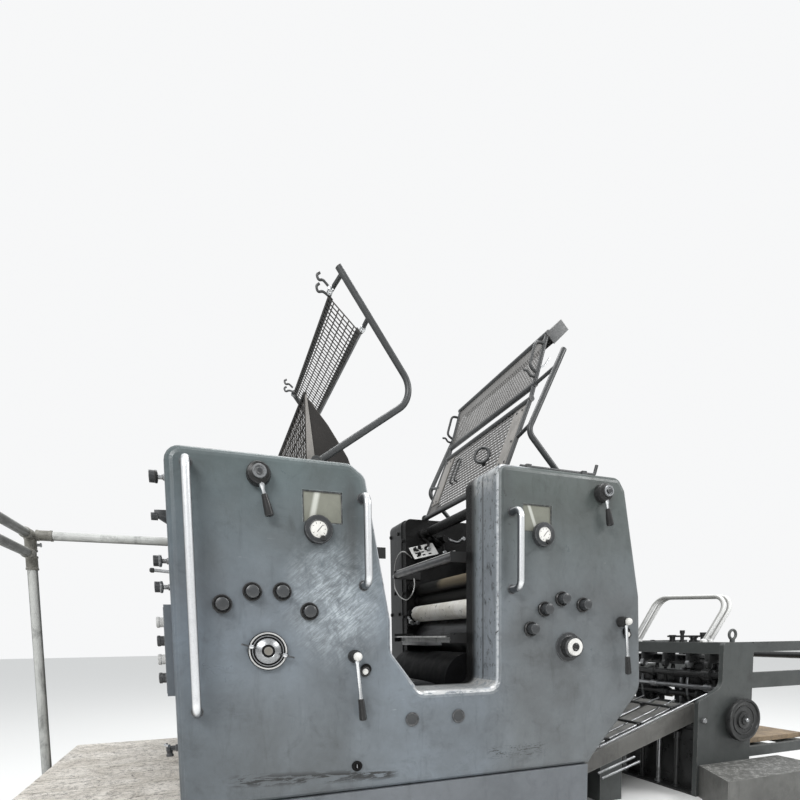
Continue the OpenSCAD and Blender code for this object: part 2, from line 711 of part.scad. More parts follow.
module guard_right_mesh() color([0.45, 0.44, 0.42])
    on_slope(on_upper(double_bar), right_top_edge) translate([stay_r, stay_r, -mesh_t / 2])
        cube([norm(right_top_edge - on_upper(double_bar)) - 2 * stay_r,
            2 * (guard_half_w - stay_r), mesh_t]);

// Rod along the top of the right tower in two saddles, with its end turned up as a small lever
top_rod_r = 8;
top_rod_y = -700;
top_rod_in = [-520, -112];
top_rod_up = 46;
top_rod_bend = 14;
saddle_l = 26;
saddle_h = 20;
module tower_rod() color([0.45, 0.46, 0.46]) {
    z = right_top + saddle_h / 2;
    x0 = right_shoulder + top_rod_in[0];
    x1 = right_shoulder + top_rod_in[1];
    bent_bar([[x0, top_rod_y, z], [x1, top_rod_y, z], [x1 + top_rod_bend, top_rod_y, z + top_rod_up]],
        top_rod_r, top_rod_bend);
    for (x = [x0 + saddle_l, x1 - 3 * saddle_l])
        translate([x, top_rod_y - saddle_l / 2, right_top]) cube([saddle_l, saddle_l, saddle_h]);
}

// Places of the controls, [x, z], each from the nearest corner of its tower
top_lever_l = left_top_corner + [311, -84];
top_lever_r = right_top_corner + [-112, -89];
low_lever_l = gap_left_foot + [-161, 550];
low_lever_r = [right_wide, bed_h] + [-147, 685];
wheel_l = left_foot_corner + [323, 578];
wheel_r_at = gap_right_foot + [374, 569];
pivots = [top_lever_l, top_lever_r, low_lever_l, low_lever_r, wheel_l, wheel_r_at];

module boss(p) {
    difference() {
        bar_y(p[0], p[1], pivot_r + boss_wall, -face_y - boss_h, -face_y);
        bar_y(p[0], p[1], pivot_r + pivot_fit, -face_y - boss_h - 1, -face_y + 1);
    }
}
cap_h = 12;
large_cap_r = 29;
small_cap_r = 19;
large_cap_drop = 116;
large_cap_at = [[-gap_floor_left - 42, gap_floor_h - large_cap_drop],
    [gap_right - 195, gap_floor_h - large_cap_drop]];
small_cap_at = [gap_left_foot + [-159, 107], low_lever_l + [48, -52], low_lever_r + [37, -47]];
module bosses_and_caps() color([0.50, 0.51, 0.52]) {
    for (p = pivots) boss(p);
    for (p = large_cap_at) bar_y(p[0], p[1], large_cap_r, -face_y - cap_h, -face_y);
    for (p = small_cap_at) bar_y(p[0], p[1], small_cap_r, -face_y - cap_h, -face_y);
}

// A lever on a shaft that runs in its boss. Angle 0 points down, and turns towards +X.
// Its rod and tapered grip are one turned piece.
module lever(p, l, angle, hub_r, grip_len) {
    arm_y = -face_y - boss_h - seat_gap - hub_h / 2;
    bar_y(p[0], p[1], pivot_r, arm_y, -face_y - seat_gap);
    bar_y(p[0], p[1], hub_r, arm_y - hub_h / 2, arm_y + hub_h / 2);
    translate([p[0], arm_y, p[1]]) rotate([0, 180 - angle, 0])
        rotate_extrude() polygon([[0, 0], [lever_rod_r, 0], [lever_rod_r, l - grip_len],
            [grip_r * 0.6, l - grip_len], [grip_r, l - grip_r * 0.7], [grip_r * 0.8, l - grip_r * 0.2],
            [grip_r * 0.4, l], [0, l]]);
}
hub_h = 24;
top_lever_angle = 15;
top_hub_r = 40;
top_grip_len = 70;
low_lever_angle = 5;
low_hub_r = 24;
low_grip_len = 80;
module top_lever_left() color([0.15, 0.15, 0.15])
    lever(top_lever_l, top_lever_len, top_lever_angle, top_hub_r, top_grip_len);
module top_lever_right() color([0.15, 0.15, 0.15])
    lever(top_lever_r, top_lever_len, top_lever_angle, top_hub_r, top_grip_len);
module low_lever_left() color([0.75, 0.75, 0.76])
    lever(low_lever_l, low_lever_len, low_lever_angle, low_hub_r, low_grip_len);
module low_lever_right() color([0.75, 0.75, 0.76])
    lever(low_lever_r, low_lever_len, low_lever_angle, low_hub_r, low_grip_len);

// Unit handwheel: a stepped disc with two pin handles
wheel_t = 22;
pin_len = 34;
pin_r = 7;
module unit_wheel(p) {
    back = -face_y - boss_h - seat_gap;
    bar_y(p[0], p[1], pivot_r, back, -face_y - seat_gap);
    bar_y(p[0], p[1], wheel_r, back - wheel_t, back);
    bar_y(p[0], p[1], wheel_r * 0.57, back - 1.6 * wheel_t, back - wheel_t);
    for (a = [10, 190])
        rod([p[0] + wheel_r * 0.9 * cos(a), back - wheel_t / 2, p[1] + wheel_r * 0.9 * sin(a)],
            [p[0] + (wheel_r + pin_len) * cos(a), back - wheel_t / 2,
            p[1] + (wheel_r + pin_len) * sin(a)], pin_r);
}
module handwheel_left() color([0.70, 0.71, 0.72]) unit_wheel(wheel_l);
module handwheel_right() color([0.70, 0.71, 0.72]) unit_wheel(wheel_r_at);

// The knobs stand in an arc above each unit handwheel
knob_at = [for (d = [[-153, 172], [-48, 218], [59, 220], [158, 147]]) wheel_l + d,
    for (d = [[-208, 84], [-135, 174], [-42, 221], [77, 195]]) wheel_r_at + d];
module setting_knobs() color([0.13, 0.13, 0.13])
    for (p = knob_at) {
        bar_y(p[0], p[1], knob_r, -face_y - knob_h, -face_y - knob_h / 3);
        bar_y(p[0], p[1], knob_r * 0.6, -face_y - knob_h / 3, -face_y);
    }

dial_at = [window_left_at + [-21, -87], window_right_at + [26, -72]];
dial_face_r = 33;
dial_face_deep = 5;
module dials() color([0.85, 0.85, 0.83])
    for (p = dial_at) difference() {
        bar_y(p[0], p[1], dial_r, -face_y - dial_h, -face_y);
        bar_y(p[0], p[1], dial_face_r, -face_y - dial_h - cut_over,
            -face_y - dial_h + dial_face_deep);
    }

module inspection_windows() color([0.72, 0.66, 0.58])
    for (p = [window_left_at, window_right_at])
        translate([p[0] - window_w / 2, -face_y + window_recess - glass_t, p[1] - window_h / 2])
            cube([window_w, glass_t, window_h]);

// Chrome bars bent towards the face at both ends
module grab_bar(x, z0, l) {
    bent_bar([[x, -face_y, z0], [x, -face_y - bar_out, z0], [x, -face_y - bar_out, z0 + l],
        [x, -face_y, z0 + l]], bar_r, bar_bend);
}
// The fourth bar stands on the sloping outer wall of the right tower
wall_from = [right_corner, right_corner_h];
wall_dir = unit([right_bend, right_bend_h] - wall_from);
wall_out = [-wall_dir[1], wall_dir[0]];
hoop_y = -625;
hoop_len = 290;
hoop_drop = 200;
hoop_out = 42;
module wall_hoop() {
    a = wall_from + wall_dir * hoop_drop;
    b = a + wall_dir * hoop_len;
    bent_bar([for (p = [a, a + wall_out * hoop_out, b + wall_out * hoop_out, b])
        at_y(p, hoop_y)], stud_r, hoop_out - stay_r);
}
long_bar_in = 71;
long_bar_up = 363;
left_bar_in = 115;
right_bar_in = 70;
short_bar_up = 135;
module grab_bars() color([0.82, 0.83, 0.84]) {
    grab_bar(long_bar_in - left_end, bed_h + long_bar_up, long_bar_len);
    grab_bar(-gap_left - left_bar_in, gap_turn_h + short_bar_up, short_bar_len);
    grab_bar(gap_right + right_bar_in, gap_turn_h + short_bar_up, short_bar_len);
    wall_hoop();
}

// A round bar along X that ends at x1
module bar_x(x1, y, z, r, l) {
    translate([x1 - l, y, z]) rotate([0, 90, 0]) cylinder(r = r, h = l);
}

// Control box on the delivery end, with its row of push buttons
control_y = -610;
control_w = 200;
control_h = 328;
control_t = 25;
control_up = 421;
button_r = 18;
button_h = 24;
button_step = 69;
buttons = 4;
module control_box() color([0.33, 0.35, 0.36]) {
    low = bed_h + control_up;
    translate([-left_end - control_t, control_y - control_w / 2, low])
        cube([control_t, control_w, control_h]);
    for (i = [0:buttons - 1])
        bar_x(-left_end - control_t, control_y,
            low + control_h / 2 + (i - (buttons - 1) / 2) * button_step, button_r, button_h);
}
// Hand knobs above it: [distance below the top of the tower, radius]
end_knob_at = [[85, 22], [227, 14], [387, 20], [482, 20]];
end_stem_r = 8;
end_stem_l = 34;
end_knob_l = 22;
module end_hand_knobs() color([0.15, 0.15, 0.15])
    for (p = end_knob_at) {
        bar_x(-left_end, control_y, left_top - p[0], end_stem_r, end_stem_l);
        bar_x(-left_end - end_stem_l, control_y, left_top - p[0], p[1], end_knob_l);
    }

// Low delivery section with its side plates and deck
module delivery_frame() color([0.30, 0.32, 0.33]) {
    for (y = [-face_y, face_y - delivery_plate_t])
        translate([-left_end - delivery_len, y, 0])
            cube([delivery_len, delivery_plate_t, deck_h - deck_t]);
    translate([-left_end - delivery_len, -face_y + delivery_plate_t, 0])
        cube([delivery_plate_t, 2 * (face_y - delivery_plate_t), deck_h - deck_t]);
}
module delivery_deck() color([0.72, 0.68, 0.60]) {
    w = (2 * face_y - (deck_boards - 1) * board_gap) / deck_boards;
    for (i = [0:deck_boards - 1])
        translate([-left_end - delivery_len, i * (w + board_gap) - face_y, deck_h - deck_t])
            cube([delivery_len, w, deck_t]);
}
// Guard rail of pipe: two posts on round floor plates, and a pipe back to the end cover
rail_x = left_end + delivery_len + rail_stand_off;
rail_step = 90;
flange_r = 34;
flange_t = 7;
rail_back = frame_inset - left_end;
module guard_rail() color([0.70, 0.71, 0.70]) {
    for (y = [rail_y, -face_y]) translate([-rail_x, y, 0]) {
        cylinder(r = pipe_r, h = rail_z);
        cylinder(r = flange_r, h = flange_t);
    }
    for (z = [rail_z, rail_z - rail_step]) bar_y(-rail_x, z, pipe_r, -face_y, rail_y);
    rod([-rail_x, rail_y, rail_z], [rail_back, rail_y, rail_z], pipe_r);
    rod([rail_back - flange_t, rail_y, rail_z], [rail_back, rail_y, rail_z], flange_r);
}

// Feeder: side plates with a low front part and a tall back part, a post behind them, and the two
// beams between
neck_in = 250;
plate_neck = feeder_back - neck_in;
neck_drop = 260;
nose_drop = 340;
module feeder_plates() color([0.32, 0.34, 0.34]) {
    outline = [[feeder_front, 0, 0], [feeder_front, feeder_h - nose_drop, 30],
        [plate_neck, feeder_h - neck_drop, 60], [plate_neck, feeder_h, 25],
        [feeder_back, feeder_h, 25], [feeder_back, 0, 0]];
    for (y0 = [feeder_half_w, -feeder_half_w - feeder_plate_t]) difference() {
        union() {
            plate_y(rounded(outline), y0, feeder_plate_t);
            for (z = [feeder_post_h, pile_z - beam_h]) translate([feeder_back, y0, z])
                cube([feeder_end - feeder_back, feeder_plate_t, beam_h]);
            translate([feeder_end - beam_h, y0, 0]) cube([beam_h, feeder_plate_t, feeder_post_h]);
            translate([feeder_back, y0, feeder_h - panel_drop])
                cube([feeder_end - feeder_back, feeder_plate_t, panel_h]);
        }
        if (y0 < 0) bar_y(feeder_wheel_x, feeder_wheel_z, pivot_r + pivot_fit, y0 - cut_over,
            y0 + feeder_plate_t + cut_over);
    }
    translate([plate_neck + cross_beam_in, -feeder_half_w, feeder_h - cross_beam_h])
        cube([cross_beam_w, 2 * feeder_half_w, cross_beam_h]);
    for (x = pile_bearers) translate([x, -feeder_half_w, pile_z - bearer_t])
        cube([beam_h, 2 * feeder_half_w, bearer_t]);
}
post_drop = 60;
panel_drop = 280;
panel_h = 95;
cross_beam_in = 5;
cross_beam_w = 98;
cross_beam_h = 70;
feeder_post_h = feeder_h - post_drop;
beam_h = 60;
pile_z = 260;
bearer_t = 40;
bearer_in = 145;
pile_bearers = [feeder_back + bearer_in, feeder_end - bearer_in - beam_h];

// Sloping feed board. Its low end stands level against the bed on two feet, its high end on a bar.
board_t = 18;
rail_t = 14;
rail_low = 100;
rail_high = 120;
board_front = bed_right + seat_gap;
board_side_gap = 10;
board_half_w = frame_y - board_side_gap;
cross_bar_r = 22;
rest_in = 25;
rest_x = board_high_x - rest_in;
rest_slope = atan2(board_high_z - rail_high - board_low_z + rail_low, board_high_x - board_low_x);
rest_z = board_high_z - rail_high - (board_high_x - rest_x) * tan(rest_slope)
    - (cross_bar_r + seat_gap) / cos(rest_slope);
module feed_board() color([0.36, 0.37, 0.36]) {
    low = board_low_z - rail_low;
    for (y = [-board_half_w, board_half_w - rail_t])
        plate_y([[board_front, board_low_z], [board_low_x, board_low_z],
            [board_high_x, board_high_z], [board_high_x, board_high_z - rail_high],
            [board_low_x, low], [board_front, low]], y, rail_t);
    plate_y([for (k = [1, 2]) each [for (p = k == 1 ? board_line : [for (i = [2:-1:0]) board_line[i]])
        p - [0, k * board_t]]], -board_half_w, 2 * board_half_w);
}
// Feet that carry the low end of the board's side rails
foot_from = 110;
foot_to = 265;
foot_w = 110;
module board_feet() color([0.38, 0.39, 0.38])
    for (y = [-board_half_w, board_half_w - foot_w])
        plate_y([[board_low_x + foot_from, 0], [board_low_x + foot_from, under_rail(foot_from)],
            [board_low_x + foot_to, under_rail(foot_to)], [board_low_x + foot_to, 0]], y, foot_w);
function under_rail(d) = board_low_z - rail_low + d * tan(rest_slope) - seat_gap;
board_line = [[board_front, board_low_z], [board_low_x, board_low_z], [board_high_x, board_high_z]];

// Round guide bars that lie on the board and carry the sheets
guide_r = 8;
guide_end = 20;
guide_step = 220;
board_slope = atan2(board_high_z - board_low_z, board_high_x - board_low_x);
guide_up = (guide_r + seat_gap) / cos(board_slope) - board_t;
module feed_board_rails() color([0.75, 0.75, 0.75])
    for (y = [for (k = [-1.5:1:1.5]) k * guide_step])
        rod([board_low_x + guide_end, y, board_low_z + guide_end * tan(board_slope) + guide_up],
            [board_high_x - guide_end, y, board_high_z - guide_end * tan(board_slope) + guide_up],
            guide_r);

// Cross bars of the feeder: [x, z, radius]
head_bar_in = 45;
head_bar_drop = 30;
head_bar = [feeder_back - head_bar_in, feeder_h - head_bar_drop, 26];
foot_bar_z = 120;
post_bar_drop = 40;
module feeder_bars() color([0.20, 0.21, 0.21])
    for (b = [head_bar, [rest_x, rest_z, cross_bar_r], [head_bar[0], foot_bar_z, cross_bar_r],
        [feeder_end - beam_h / 2, feeder_post_h - post_bar_drop, cross_bar_r]])
        bar_y(b[0], b[1], b[2], -feeder_half_w, feeder_half_w);

// Suction head: a box that hangs from the upper cross bar, with its row of sheet suckers
head_half_w = 260;
head_hang = 58;
head_top = head_bar[1] - head_hang;
head_h = 60;
head_l = 140;
head_back = 40;
lug_half = 40;
lug_in = 60;
lug_t = 18;
sucker_r = 11;
sucker_h = 34;
sucker_step = 140;
sucker_in = 70;
module suction_head() color([0.25, 0.26, 0.27]) {
    translate([head_bar[0] - head_l + head_back, -head_half_w, head_top - head_h])
        cube([head_l, 2 * head_half_w, head_h]);
    for (y = [lug_in - head_half_w, head_half_w - lug_in - lug_t]) difference() {
        union() {
            translate([head_bar[0] - lug_half, y, head_top - lug_t])
                cube([2 * lug_half, lug_t, head_hang + lug_t]);
            bar_y(head_bar[0], head_bar[1], lug_half, y, y + lug_t);
        }
        bar_y(head_bar[0], head_bar[1], head_bar[2] + pivot_fit, y - cut_over,
            y + lug_t + cut_over);
    }
    for (k = [-1.5:1:1.5])
        translate([head_bar[0] - sucker_in, k * sucker_step, head_top - head_h - sucker_h])
            cylinder(r1 = sucker_r * 1.5, r2 = sucker_r, h = sucker_h);
}

// Two bent pipes that stand on the cross beam and lead air over the suction head
hoop_r = 14;
hoop_bend = 90;
// The pipes stand in domed feet, and start a little above the bottom of them
foot_r = 1.6 * hoop_r;
foot_in = 12;
hoop_first = 28;
hoop_step = 50;
hoop_lean = 120;
// Places of the two feet and the two upper corners, [y, height above the side plates]
hoop_feet = [-400, 190];
hoop_corners = [[-480, 275], [90, 305]];
module guard_hoops() color([0.80, 0.81, 0.82])
    for (x = [plate_neck + hoop_first, plate_neck + hoop_first + hoop_step]) {
        feet = [for (y = hoop_feet) [x, y, feeder_h]];
        corners = [for (c = hoop_corners) [x + hoop_lean, c[0], feeder_h + c[1]]];
        for (f = feet) translate(f) difference() {
            sphere(r = foot_r);
            translate([-foot_r, -foot_r, -2 * foot_r]) cube(2 * foot_r);
        }
        starts = [for (i = [0, 1]) feet[i] + foot_in * unit(corners[i] - feet[i])];
        bent_bar([starts[0], corners[0], corners[1], starts[1]], hoop_r, hoop_bend);
    }

// Lifting eyes on the feeder's side plates
eye_in = 85;
eye_ring_r = 27;
eye_r = 8;
eye_collar_r = 14;
eye_collar_h = 18;
module lifting_eyes() color([0.20, 0.20, 0.20])
    for (s = [-1, 1])
        translate([plate_neck + eye_in, s * (feeder_half_w + feeder_plate_t / 2), feeder_h + seat_gap]) {
            cylinder(r = eye_collar_r, h = eye_collar_h);
            translate([0, 0, eye_collar_h + eye_ring_r]) rotate([90, 0, 0])
                rotate_extrude() translate([eye_ring_r, 0]) circle(eye_r);
        }

// Handwheel of the feeder, a rimmed disc on a shaft that runs in the side plate
wheel_rim = 22;
module feeder_handwheel() color([0.22, 0.23, 0.23]) {
    back = -feeder_half_w - feeder_plate_t - running_gap;
    translate([feeder_wheel_x, back, feeder_wheel_z]) rotate([90, 0, 0]) rotate_extrude()
        polygon([[0, 0], [feeder_wheel_r, 0], [feeder_wheel_r, 34], [feeder_wheel_r - wheel_rim, 34],
            [feeder_wheel_r - wheel_rim - 8, 12], [40, 12], [34, 44], [0, 44]]);
    bar_y(feeder_wheel_x, feeder_wheel_z, pivot_r, back, -feeder_half_w);
}

// Step beside the feeder
step_set = 20;
step_flare = 160;
step_len = 660;
step_w = 320;
step_h = 186;
module foot_step() color([0.35, 0.35, 0.34])
    translate([feeder_front + step_set, -feeder_half_w - feeder_plate_t, 0]) linear_extrude(step_h)
        polygon([[0, 0], [-step_flare, -step_w], [step_len, -step_w], [step_len, 0]]);

// The board that the pile of sheets stands on
pile_board_in = 55;
pile_board_gap = 40;
pile_board_end_gap = 15;
pile_board_t = 30;
module pile_board() color([0.60, 0.52, 0.40])
    translate([feeder_back + pile_board_gap, pile_board_in - feeder_half_w, pile_z])
        cube([feeder_end - beam_h - pile_board_end_gap - feeder_back - pile_board_gap,
            2 * (feeder_half_w - pile_board_in), pile_board_t]);

bed();
operator_side_frame();
drive_side_frame();
operator_cover();
drive_cover();
cross_ties();
finger_guards();
gap_shafts();
end_covers();
impression_cylinder();
blanket_cylinder_left();
blanket_cylinder_right();
plate_cylinder_left();
plate_cylinder_right();
ink_rollers();
damping_rollers();
ink_ducts();
guard_hinges();
guard_left_frame();
guard_left_mesh();
guard_left_hood();
guard_right_frame();
guard_right_sheet();
guard_right_mesh();
top_lever_left();
top_lever_right();
low_lever_left();
low_lever_right();
handwheel_left();
handwheel_right();
tower_rod();
bosses_and_caps();
setting_knobs();
dials();
inspection_windows();
grab_bars();
control_box();
end_hand_knobs();
delivery_frame();
delivery_deck();
guard_rail();
feeder_plates();
feed_board();
board_feet();
feed_board_rails();
feeder_bars();
suction_head();
guard_hoops();
lifting_eyes();
feeder_handwheel();
foot_step();
pile_board();
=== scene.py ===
import math

import bpy
from mathutils import Matrix, Vector


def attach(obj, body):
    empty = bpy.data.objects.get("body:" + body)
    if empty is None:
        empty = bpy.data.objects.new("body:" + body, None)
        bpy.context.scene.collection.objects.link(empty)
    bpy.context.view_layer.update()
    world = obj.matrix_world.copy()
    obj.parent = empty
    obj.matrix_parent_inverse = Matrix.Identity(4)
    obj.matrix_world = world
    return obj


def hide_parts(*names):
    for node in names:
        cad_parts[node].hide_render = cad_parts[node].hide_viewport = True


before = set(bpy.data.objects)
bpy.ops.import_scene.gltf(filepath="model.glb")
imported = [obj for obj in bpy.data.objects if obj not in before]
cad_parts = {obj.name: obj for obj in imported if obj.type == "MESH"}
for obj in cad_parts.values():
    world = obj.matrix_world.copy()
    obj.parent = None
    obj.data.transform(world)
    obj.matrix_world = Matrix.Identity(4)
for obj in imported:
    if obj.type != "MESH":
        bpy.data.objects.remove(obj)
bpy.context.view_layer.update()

# Camera
# The photograph is taken by a standing person in front of the left tower, with a wide lens held
# level, so the machine stands low in the frame.
bpy.ops.object.camera_add(
    location=(-0.95, -2.85, 0.96),
    rotation=(math.radians(85.11), math.radians(0.608), math.radians(-21.99)),
)
camera = bpy.context.object
camera.data.lens = 24.35
camera.data.sensor_width = 36.0
camera.data.shift_x = -0.0315
camera.data.shift_y = 0.352
camera.data.clip_end = 200.0
bpy.context.scene.camera = camera

# Studio
# A pale floor and a wide ring of soft light. Three large soft lamps stand in for the hall's lamps.
scene = bpy.context.scene
scene.view_settings.view_transform = "Standard"


def add(near, kind, inputs=None, **settings):
    """A shader node beside a socket or in a tree, with its settings, plain values and links."""
    tree = near.id_data
    made = tree.nodes.new("ShaderNode" + kind)
    for key, value in settings.items():
        setattr(made, key, value)
    for key, value in (inputs or {}).items():
        if isinstance(value, bpy.types.NodeSocket):
            tree.links.new(value, made.inputs[key])
        else:
            made.inputs[key].default_value = value
    return made


bpy.ops.mesh.primitive_plane_add(size=60, location=(0, 0, 0))
floor = bpy.context.object
floor.name = "studio_floor"
pale = bpy.data.materials.new("pale_floor")
pale.use_nodes = True
paper = pale.node_tree.nodes["Principled BSDF"]
paper.inputs["Base Color"].default_value = (0.80, 0.80, 0.79, 1)
paper.inputs["Roughness"].default_value = 0.9
paper.inputs["Specular IOR Level"].default_value = 0.1
floor.data.materials.append(pale)

world = bpy.data.worlds.new("soft_room")
scene.world = world
world.use_nodes = True
room = world.node_tree
room.nodes.clear()
split = add(room, "SeparateXYZ", {"Vector": add(room, "TexCoord").outputs["Generated"]})
height = add(room, "MapRange", {"Value": split.outputs["Z"], "From Min": -0.25, "From Max": 0.75,
                                "To Min": 0.32, "To Max": 0.92})
shade = add(room, "Background", {"Color": (0.965, 0.985, 1.0, 1), "Strength": height.outputs[0]})
backdrop = add(room, "Background", {"Color": (0.93, 0.935, 0.94, 1), "Strength": 1.0})
either = add(room, "MixShader", {0: add(room, "LightPath").outputs["Is Camera Ray"],
                                 1: shade.outputs[0], 2: backdrop.outputs[0]})
add(room, "OutputWorld", {"Surface": either.outputs[0]})


def soft_lamp(name, place, aim, width, height, watts):
    """A rectangular soft lamp turned towards a point."""
    bpy.ops.object.light_add(type="AREA", location=place)
    lamp = bpy.context.object
    lamp.name = name
    lamp.data.shape = "RECTANGLE"
    lamp.data.size = width
    lamp.data.size_y = height
    lamp.data.energy = watts
    lamp.rotation_euler = (Vector(aim) - Vector(place)).to_track_quat("-Z", "Y").to_euler()


soft_lamp("lamp_left", (-3.6, -4.6, 4.6), (-0.2, 0, 0.9), 2.6, 2.0, 250)
soft_lamp("lamp_right", (4.2, -3.4, 4.4), (0.4, 0, 1.1), 2.0, 1.6, 130)
soft_lamp("lamp_over", (0.2, 0.6, 5.2), (0.1, 0, 1.0), 3.0, 2.4, 120)

# Covers and bed
# Thick cast covers over the drive gear on both sides and the bed under them, all in the same hard
# grey enamel. Hands, rags and oil have dulled it in patches, boots have scuffed it low down, and
# the rounded edges round the gap are rubbed to bright metal. Painted shade darkens it beside the
# grab bars, at the far left end and deep in the gap. Painted light brightens the gap's walls, with a
# painted highlight along their front edges.


def tone(value):
    """A colour from three parts or from one grey value. A socket stays as it is."""
    if isinstance(value, float):
        value = (value, value, value)
    return (*value, 1) if isinstance(value, tuple) else value


def new_group(name, inputs, outputs):
    """A shader node group that takes a place, colours and factors. Returns its two rows of sockets."""
    tree = bpy.data.node_groups.new(name, "ShaderNodeTree")
    kinds = {True: "NodeSocketColor", False: "NodeSocketFloat"}
    tree.interface.new_socket(name="Place", in_out="INPUT", socket_type="NodeSocketVector")
    for label, value in inputs.items():
        kind = kinds[isinstance(value, tuple)]
        tree.interface.new_socket(name=label, in_out="INPUT", socket_type=kind).default_value = value
    for label in outputs.split():
        tree.interface.new_socket(name=label, in_out="OUTPUT", socket_type=kinds[label == "Color"])
    return tree.nodes.new("NodeGroupInput").outputs, tree.nodes.new("NodeGroupOutput").inputs


def give(goes, **results):
    """Links the results to the outputs of their group."""
    for label, socket in results.items():
        socket.id_data.links.new(socket, goes[label])


def mixed(mask, low, high, how="MIX"):
    """Blends two colours by a mask and returns the colour socket."""
    return add(mask, "Mix", {0: mask, 6: tone(low), 7: tone(high)},
               data_type="RGBA", blend_type=how).outputs[2]


def stretch(value, low, high, to_low=0.0, to_high=1.0):
    """Spreads the part of a value between low and high over a new range."""
    return add(value, "MapRange", {"Value": value, "From Min": low, "From Max": high,
                                   "To Min": to_low, "To Max": to_high}).outputs[0]


def times(one, two, how="MULTIPLY"):
    return add(one, "Math", {0: one, 1: two}, operation=how).outputs[0]


def both(first, *more):
    """The product of several masks."""
    for mask in more:
        first = times(first, mask)
    return first


def absolute(value):
    return times(value, 0.0, "ABSOLUTE")


def band(value, rise, full, fall, end):
    """A mask that is full in the middle of a range and fades out at both ends."""
    return times(stretch(value, rise, full), stretch(value, end, fall))


def parts(vector):
    return add(vector, "SeparateXYZ", {"Vector": vector}).outputs


def along(vector, axis):
    """How far a vector reaches along an axis."""
    return add(vector, "VectorMath", {0: vector, 1: axis}, operation="DOT_PRODUCT").outputs["Value"]


def facing(near):
    """The direction that the surface looks in."""
    return add(near, "NewGeometry").outputs["Normal"]


def cloud(place, size, detail=4.0, rough=0.55, bend=0.0, squash=None):
    """Soft noise. size is about the width of a patch in metres."""
    if squash:
        place = add(place, "Mapping", {"Vector": place, "Scale": squash}).outputs[0]
    return add(place, "TexNoise", {"Vector": place, "Scale": 1.0 / size, "Detail": detail,
                                   "Roughness": rough, "Distortion": bend}).outputs["Fac"]


# Paint on metal: slow patches, rubbed and chipped edges, oily smears, short thin scratches
came, goes = new_group(
    "worn_paint", {"Paint": tone(0.1), "Dull": tone(0.1), "Bare": tone(0.3), "Wear": 0.5, "Dirt": 0.5,
                   "Gloss": 0.4}, "Color Roughness Metal Height")
spot = came["Place"]
patches = stretch(cloud(spot, 0.36, 6, 0.62, 0.3), 0.35, 0.68)
mottle = stretch(cloud(spot, 0.03, 5, 0.7), 0.3, 0.7)
colour = mixed(patches, came["Paint"], came["Dull"])
colour = mixed(times(mottle, 0.22), colour, 0.55, "MULTIPLY")
runs = stretch(cloud(spot, 0.05, 6, 0.65, 0.2, (1.0, 1.0, 0.2)), 0.56, 0.80)
smears = stretch(cloud(spot, 0.12, 8, 0.72, 0.6), 0.54, 0.78)
dirt = times(times(runs, smears, "ADD"), came["Dirt"])
colour = mixed(times(dirt, 0.75, "MINIMUM"), colour, (0.024, 0.024, 0.023))
scratch = both(stretch(cloud(spot, 0.006, 2, 0.4, 0.7, (0.16, 1, 1)), 0.71, 0.75),
               stretch(cloud(spot, 0.2, 3), 0.52, 0.66), came["Wear"])
colour = mixed(times(scratch, 0.35), colour, came["Bare"])
turn = along(facing(spot), add(spot, "Bevel", {"Radius": 0.006}, samples=4).outputs[0])
edge = both(stretch(turn, 0.995, 0.90), stretch(cloud(spot, 0.02, 5, 0.7), 0.38, 0.66), came["Wear"])
colour = mixed(edge, colour, came["Bare"])
chips = times(stretch(cloud(spot, 0.024, 6, 0.8), 0.69, 0.73), came["Wear"])
rough = times(came["Gloss"], stretch(patches, 0, 1, -0.05, 0.10), "ADD")
rough = times(rough, stretch(cloud(spot, 0.09, 6, 0.7, 0.8), 0.3, 0.7, -0.10, 0.12), "ADD")
give(goes, Color=mixed(times(chips, 0.6), colour, 0.02), Roughness=rough, Metal=times(edge, 0.55),
     Height=times(cloud(spot, 0.006, 3), times(chips, -1.0), "ADD"))


def finish(name, *values, pattern="worn_paint", bump=0.0004, shine=None):
    """A material made by a pattern group. The values go to its inputs in their order."""
    made = bpy.data.materials.new(name)
    made.use_nodes = True
    tree = made.node_tree
    skin = tree.nodes["Principled BSDF"]
    group = add(tree, "Group", node_tree=bpy.data.node_groups[pattern])
    group.name = "pattern"
    tree.links.new(object_place(made), group.inputs["Place"])
    for socket, value in zip(list(group.inputs)[1:], values):
        socket.default_value = tone(value) if socket.type == "RGBA" else value
    for out, into in (("Color", "Base Color"), ("Roughness", "Roughness"), ("Metal", "Metallic")):
        if out in group.outputs:
            tree.links.new(group.outputs[out], skin.inputs[into])
    relief = add(tree, "Bump", {"Height": group.outputs["Height"], "Strength": 1.0, "Distance": bump})
    tree.links.new(relief.outputs[0], skin.inputs["Normal"])
    if shine is not None:
        skin.inputs["Specular IOR Level"].default_value = shine
    return made


def object_place(material):
    """The place on the object, for a material's patterns."""
    return add(material.node_tree, "TexCoord").outputs["Object"]


def tinted(material, mask, tint, how="MIX"):
    """Blends a tint over a material's colour where the mask says."""
    base = material.node_tree.nodes["Principled BSDF"].inputs["Base Color"]
    mask.id_data.links.new(mixed(mask, base.links[0].from_socket, tint, how), base)
    return material


def dress(material, *names):
    """Gives CAD nodes their finish."""
    for name in names:
        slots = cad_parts[name].data.materials
        slots.clear()
        slots.append(material)


# Marks that belong to places on the towers: ink and painted shade inside the gap, painted light
# and a painted highlight on its walls, bare metal on its floor, chipped edges, the rubbed patch, the
# row of scuffs, painted shade beside the grab bars and at the far left end, and the seam above the bed
came, goes = new_group("tower_marks_and_shade", {"Color": tone(0.1), "Rough": 0.4, "Ink": 0.0},
                       "Color Roughness Metal")
spot = came["Place"]
side, depth, level = parts(spot)
looks = parts(facing(spot))
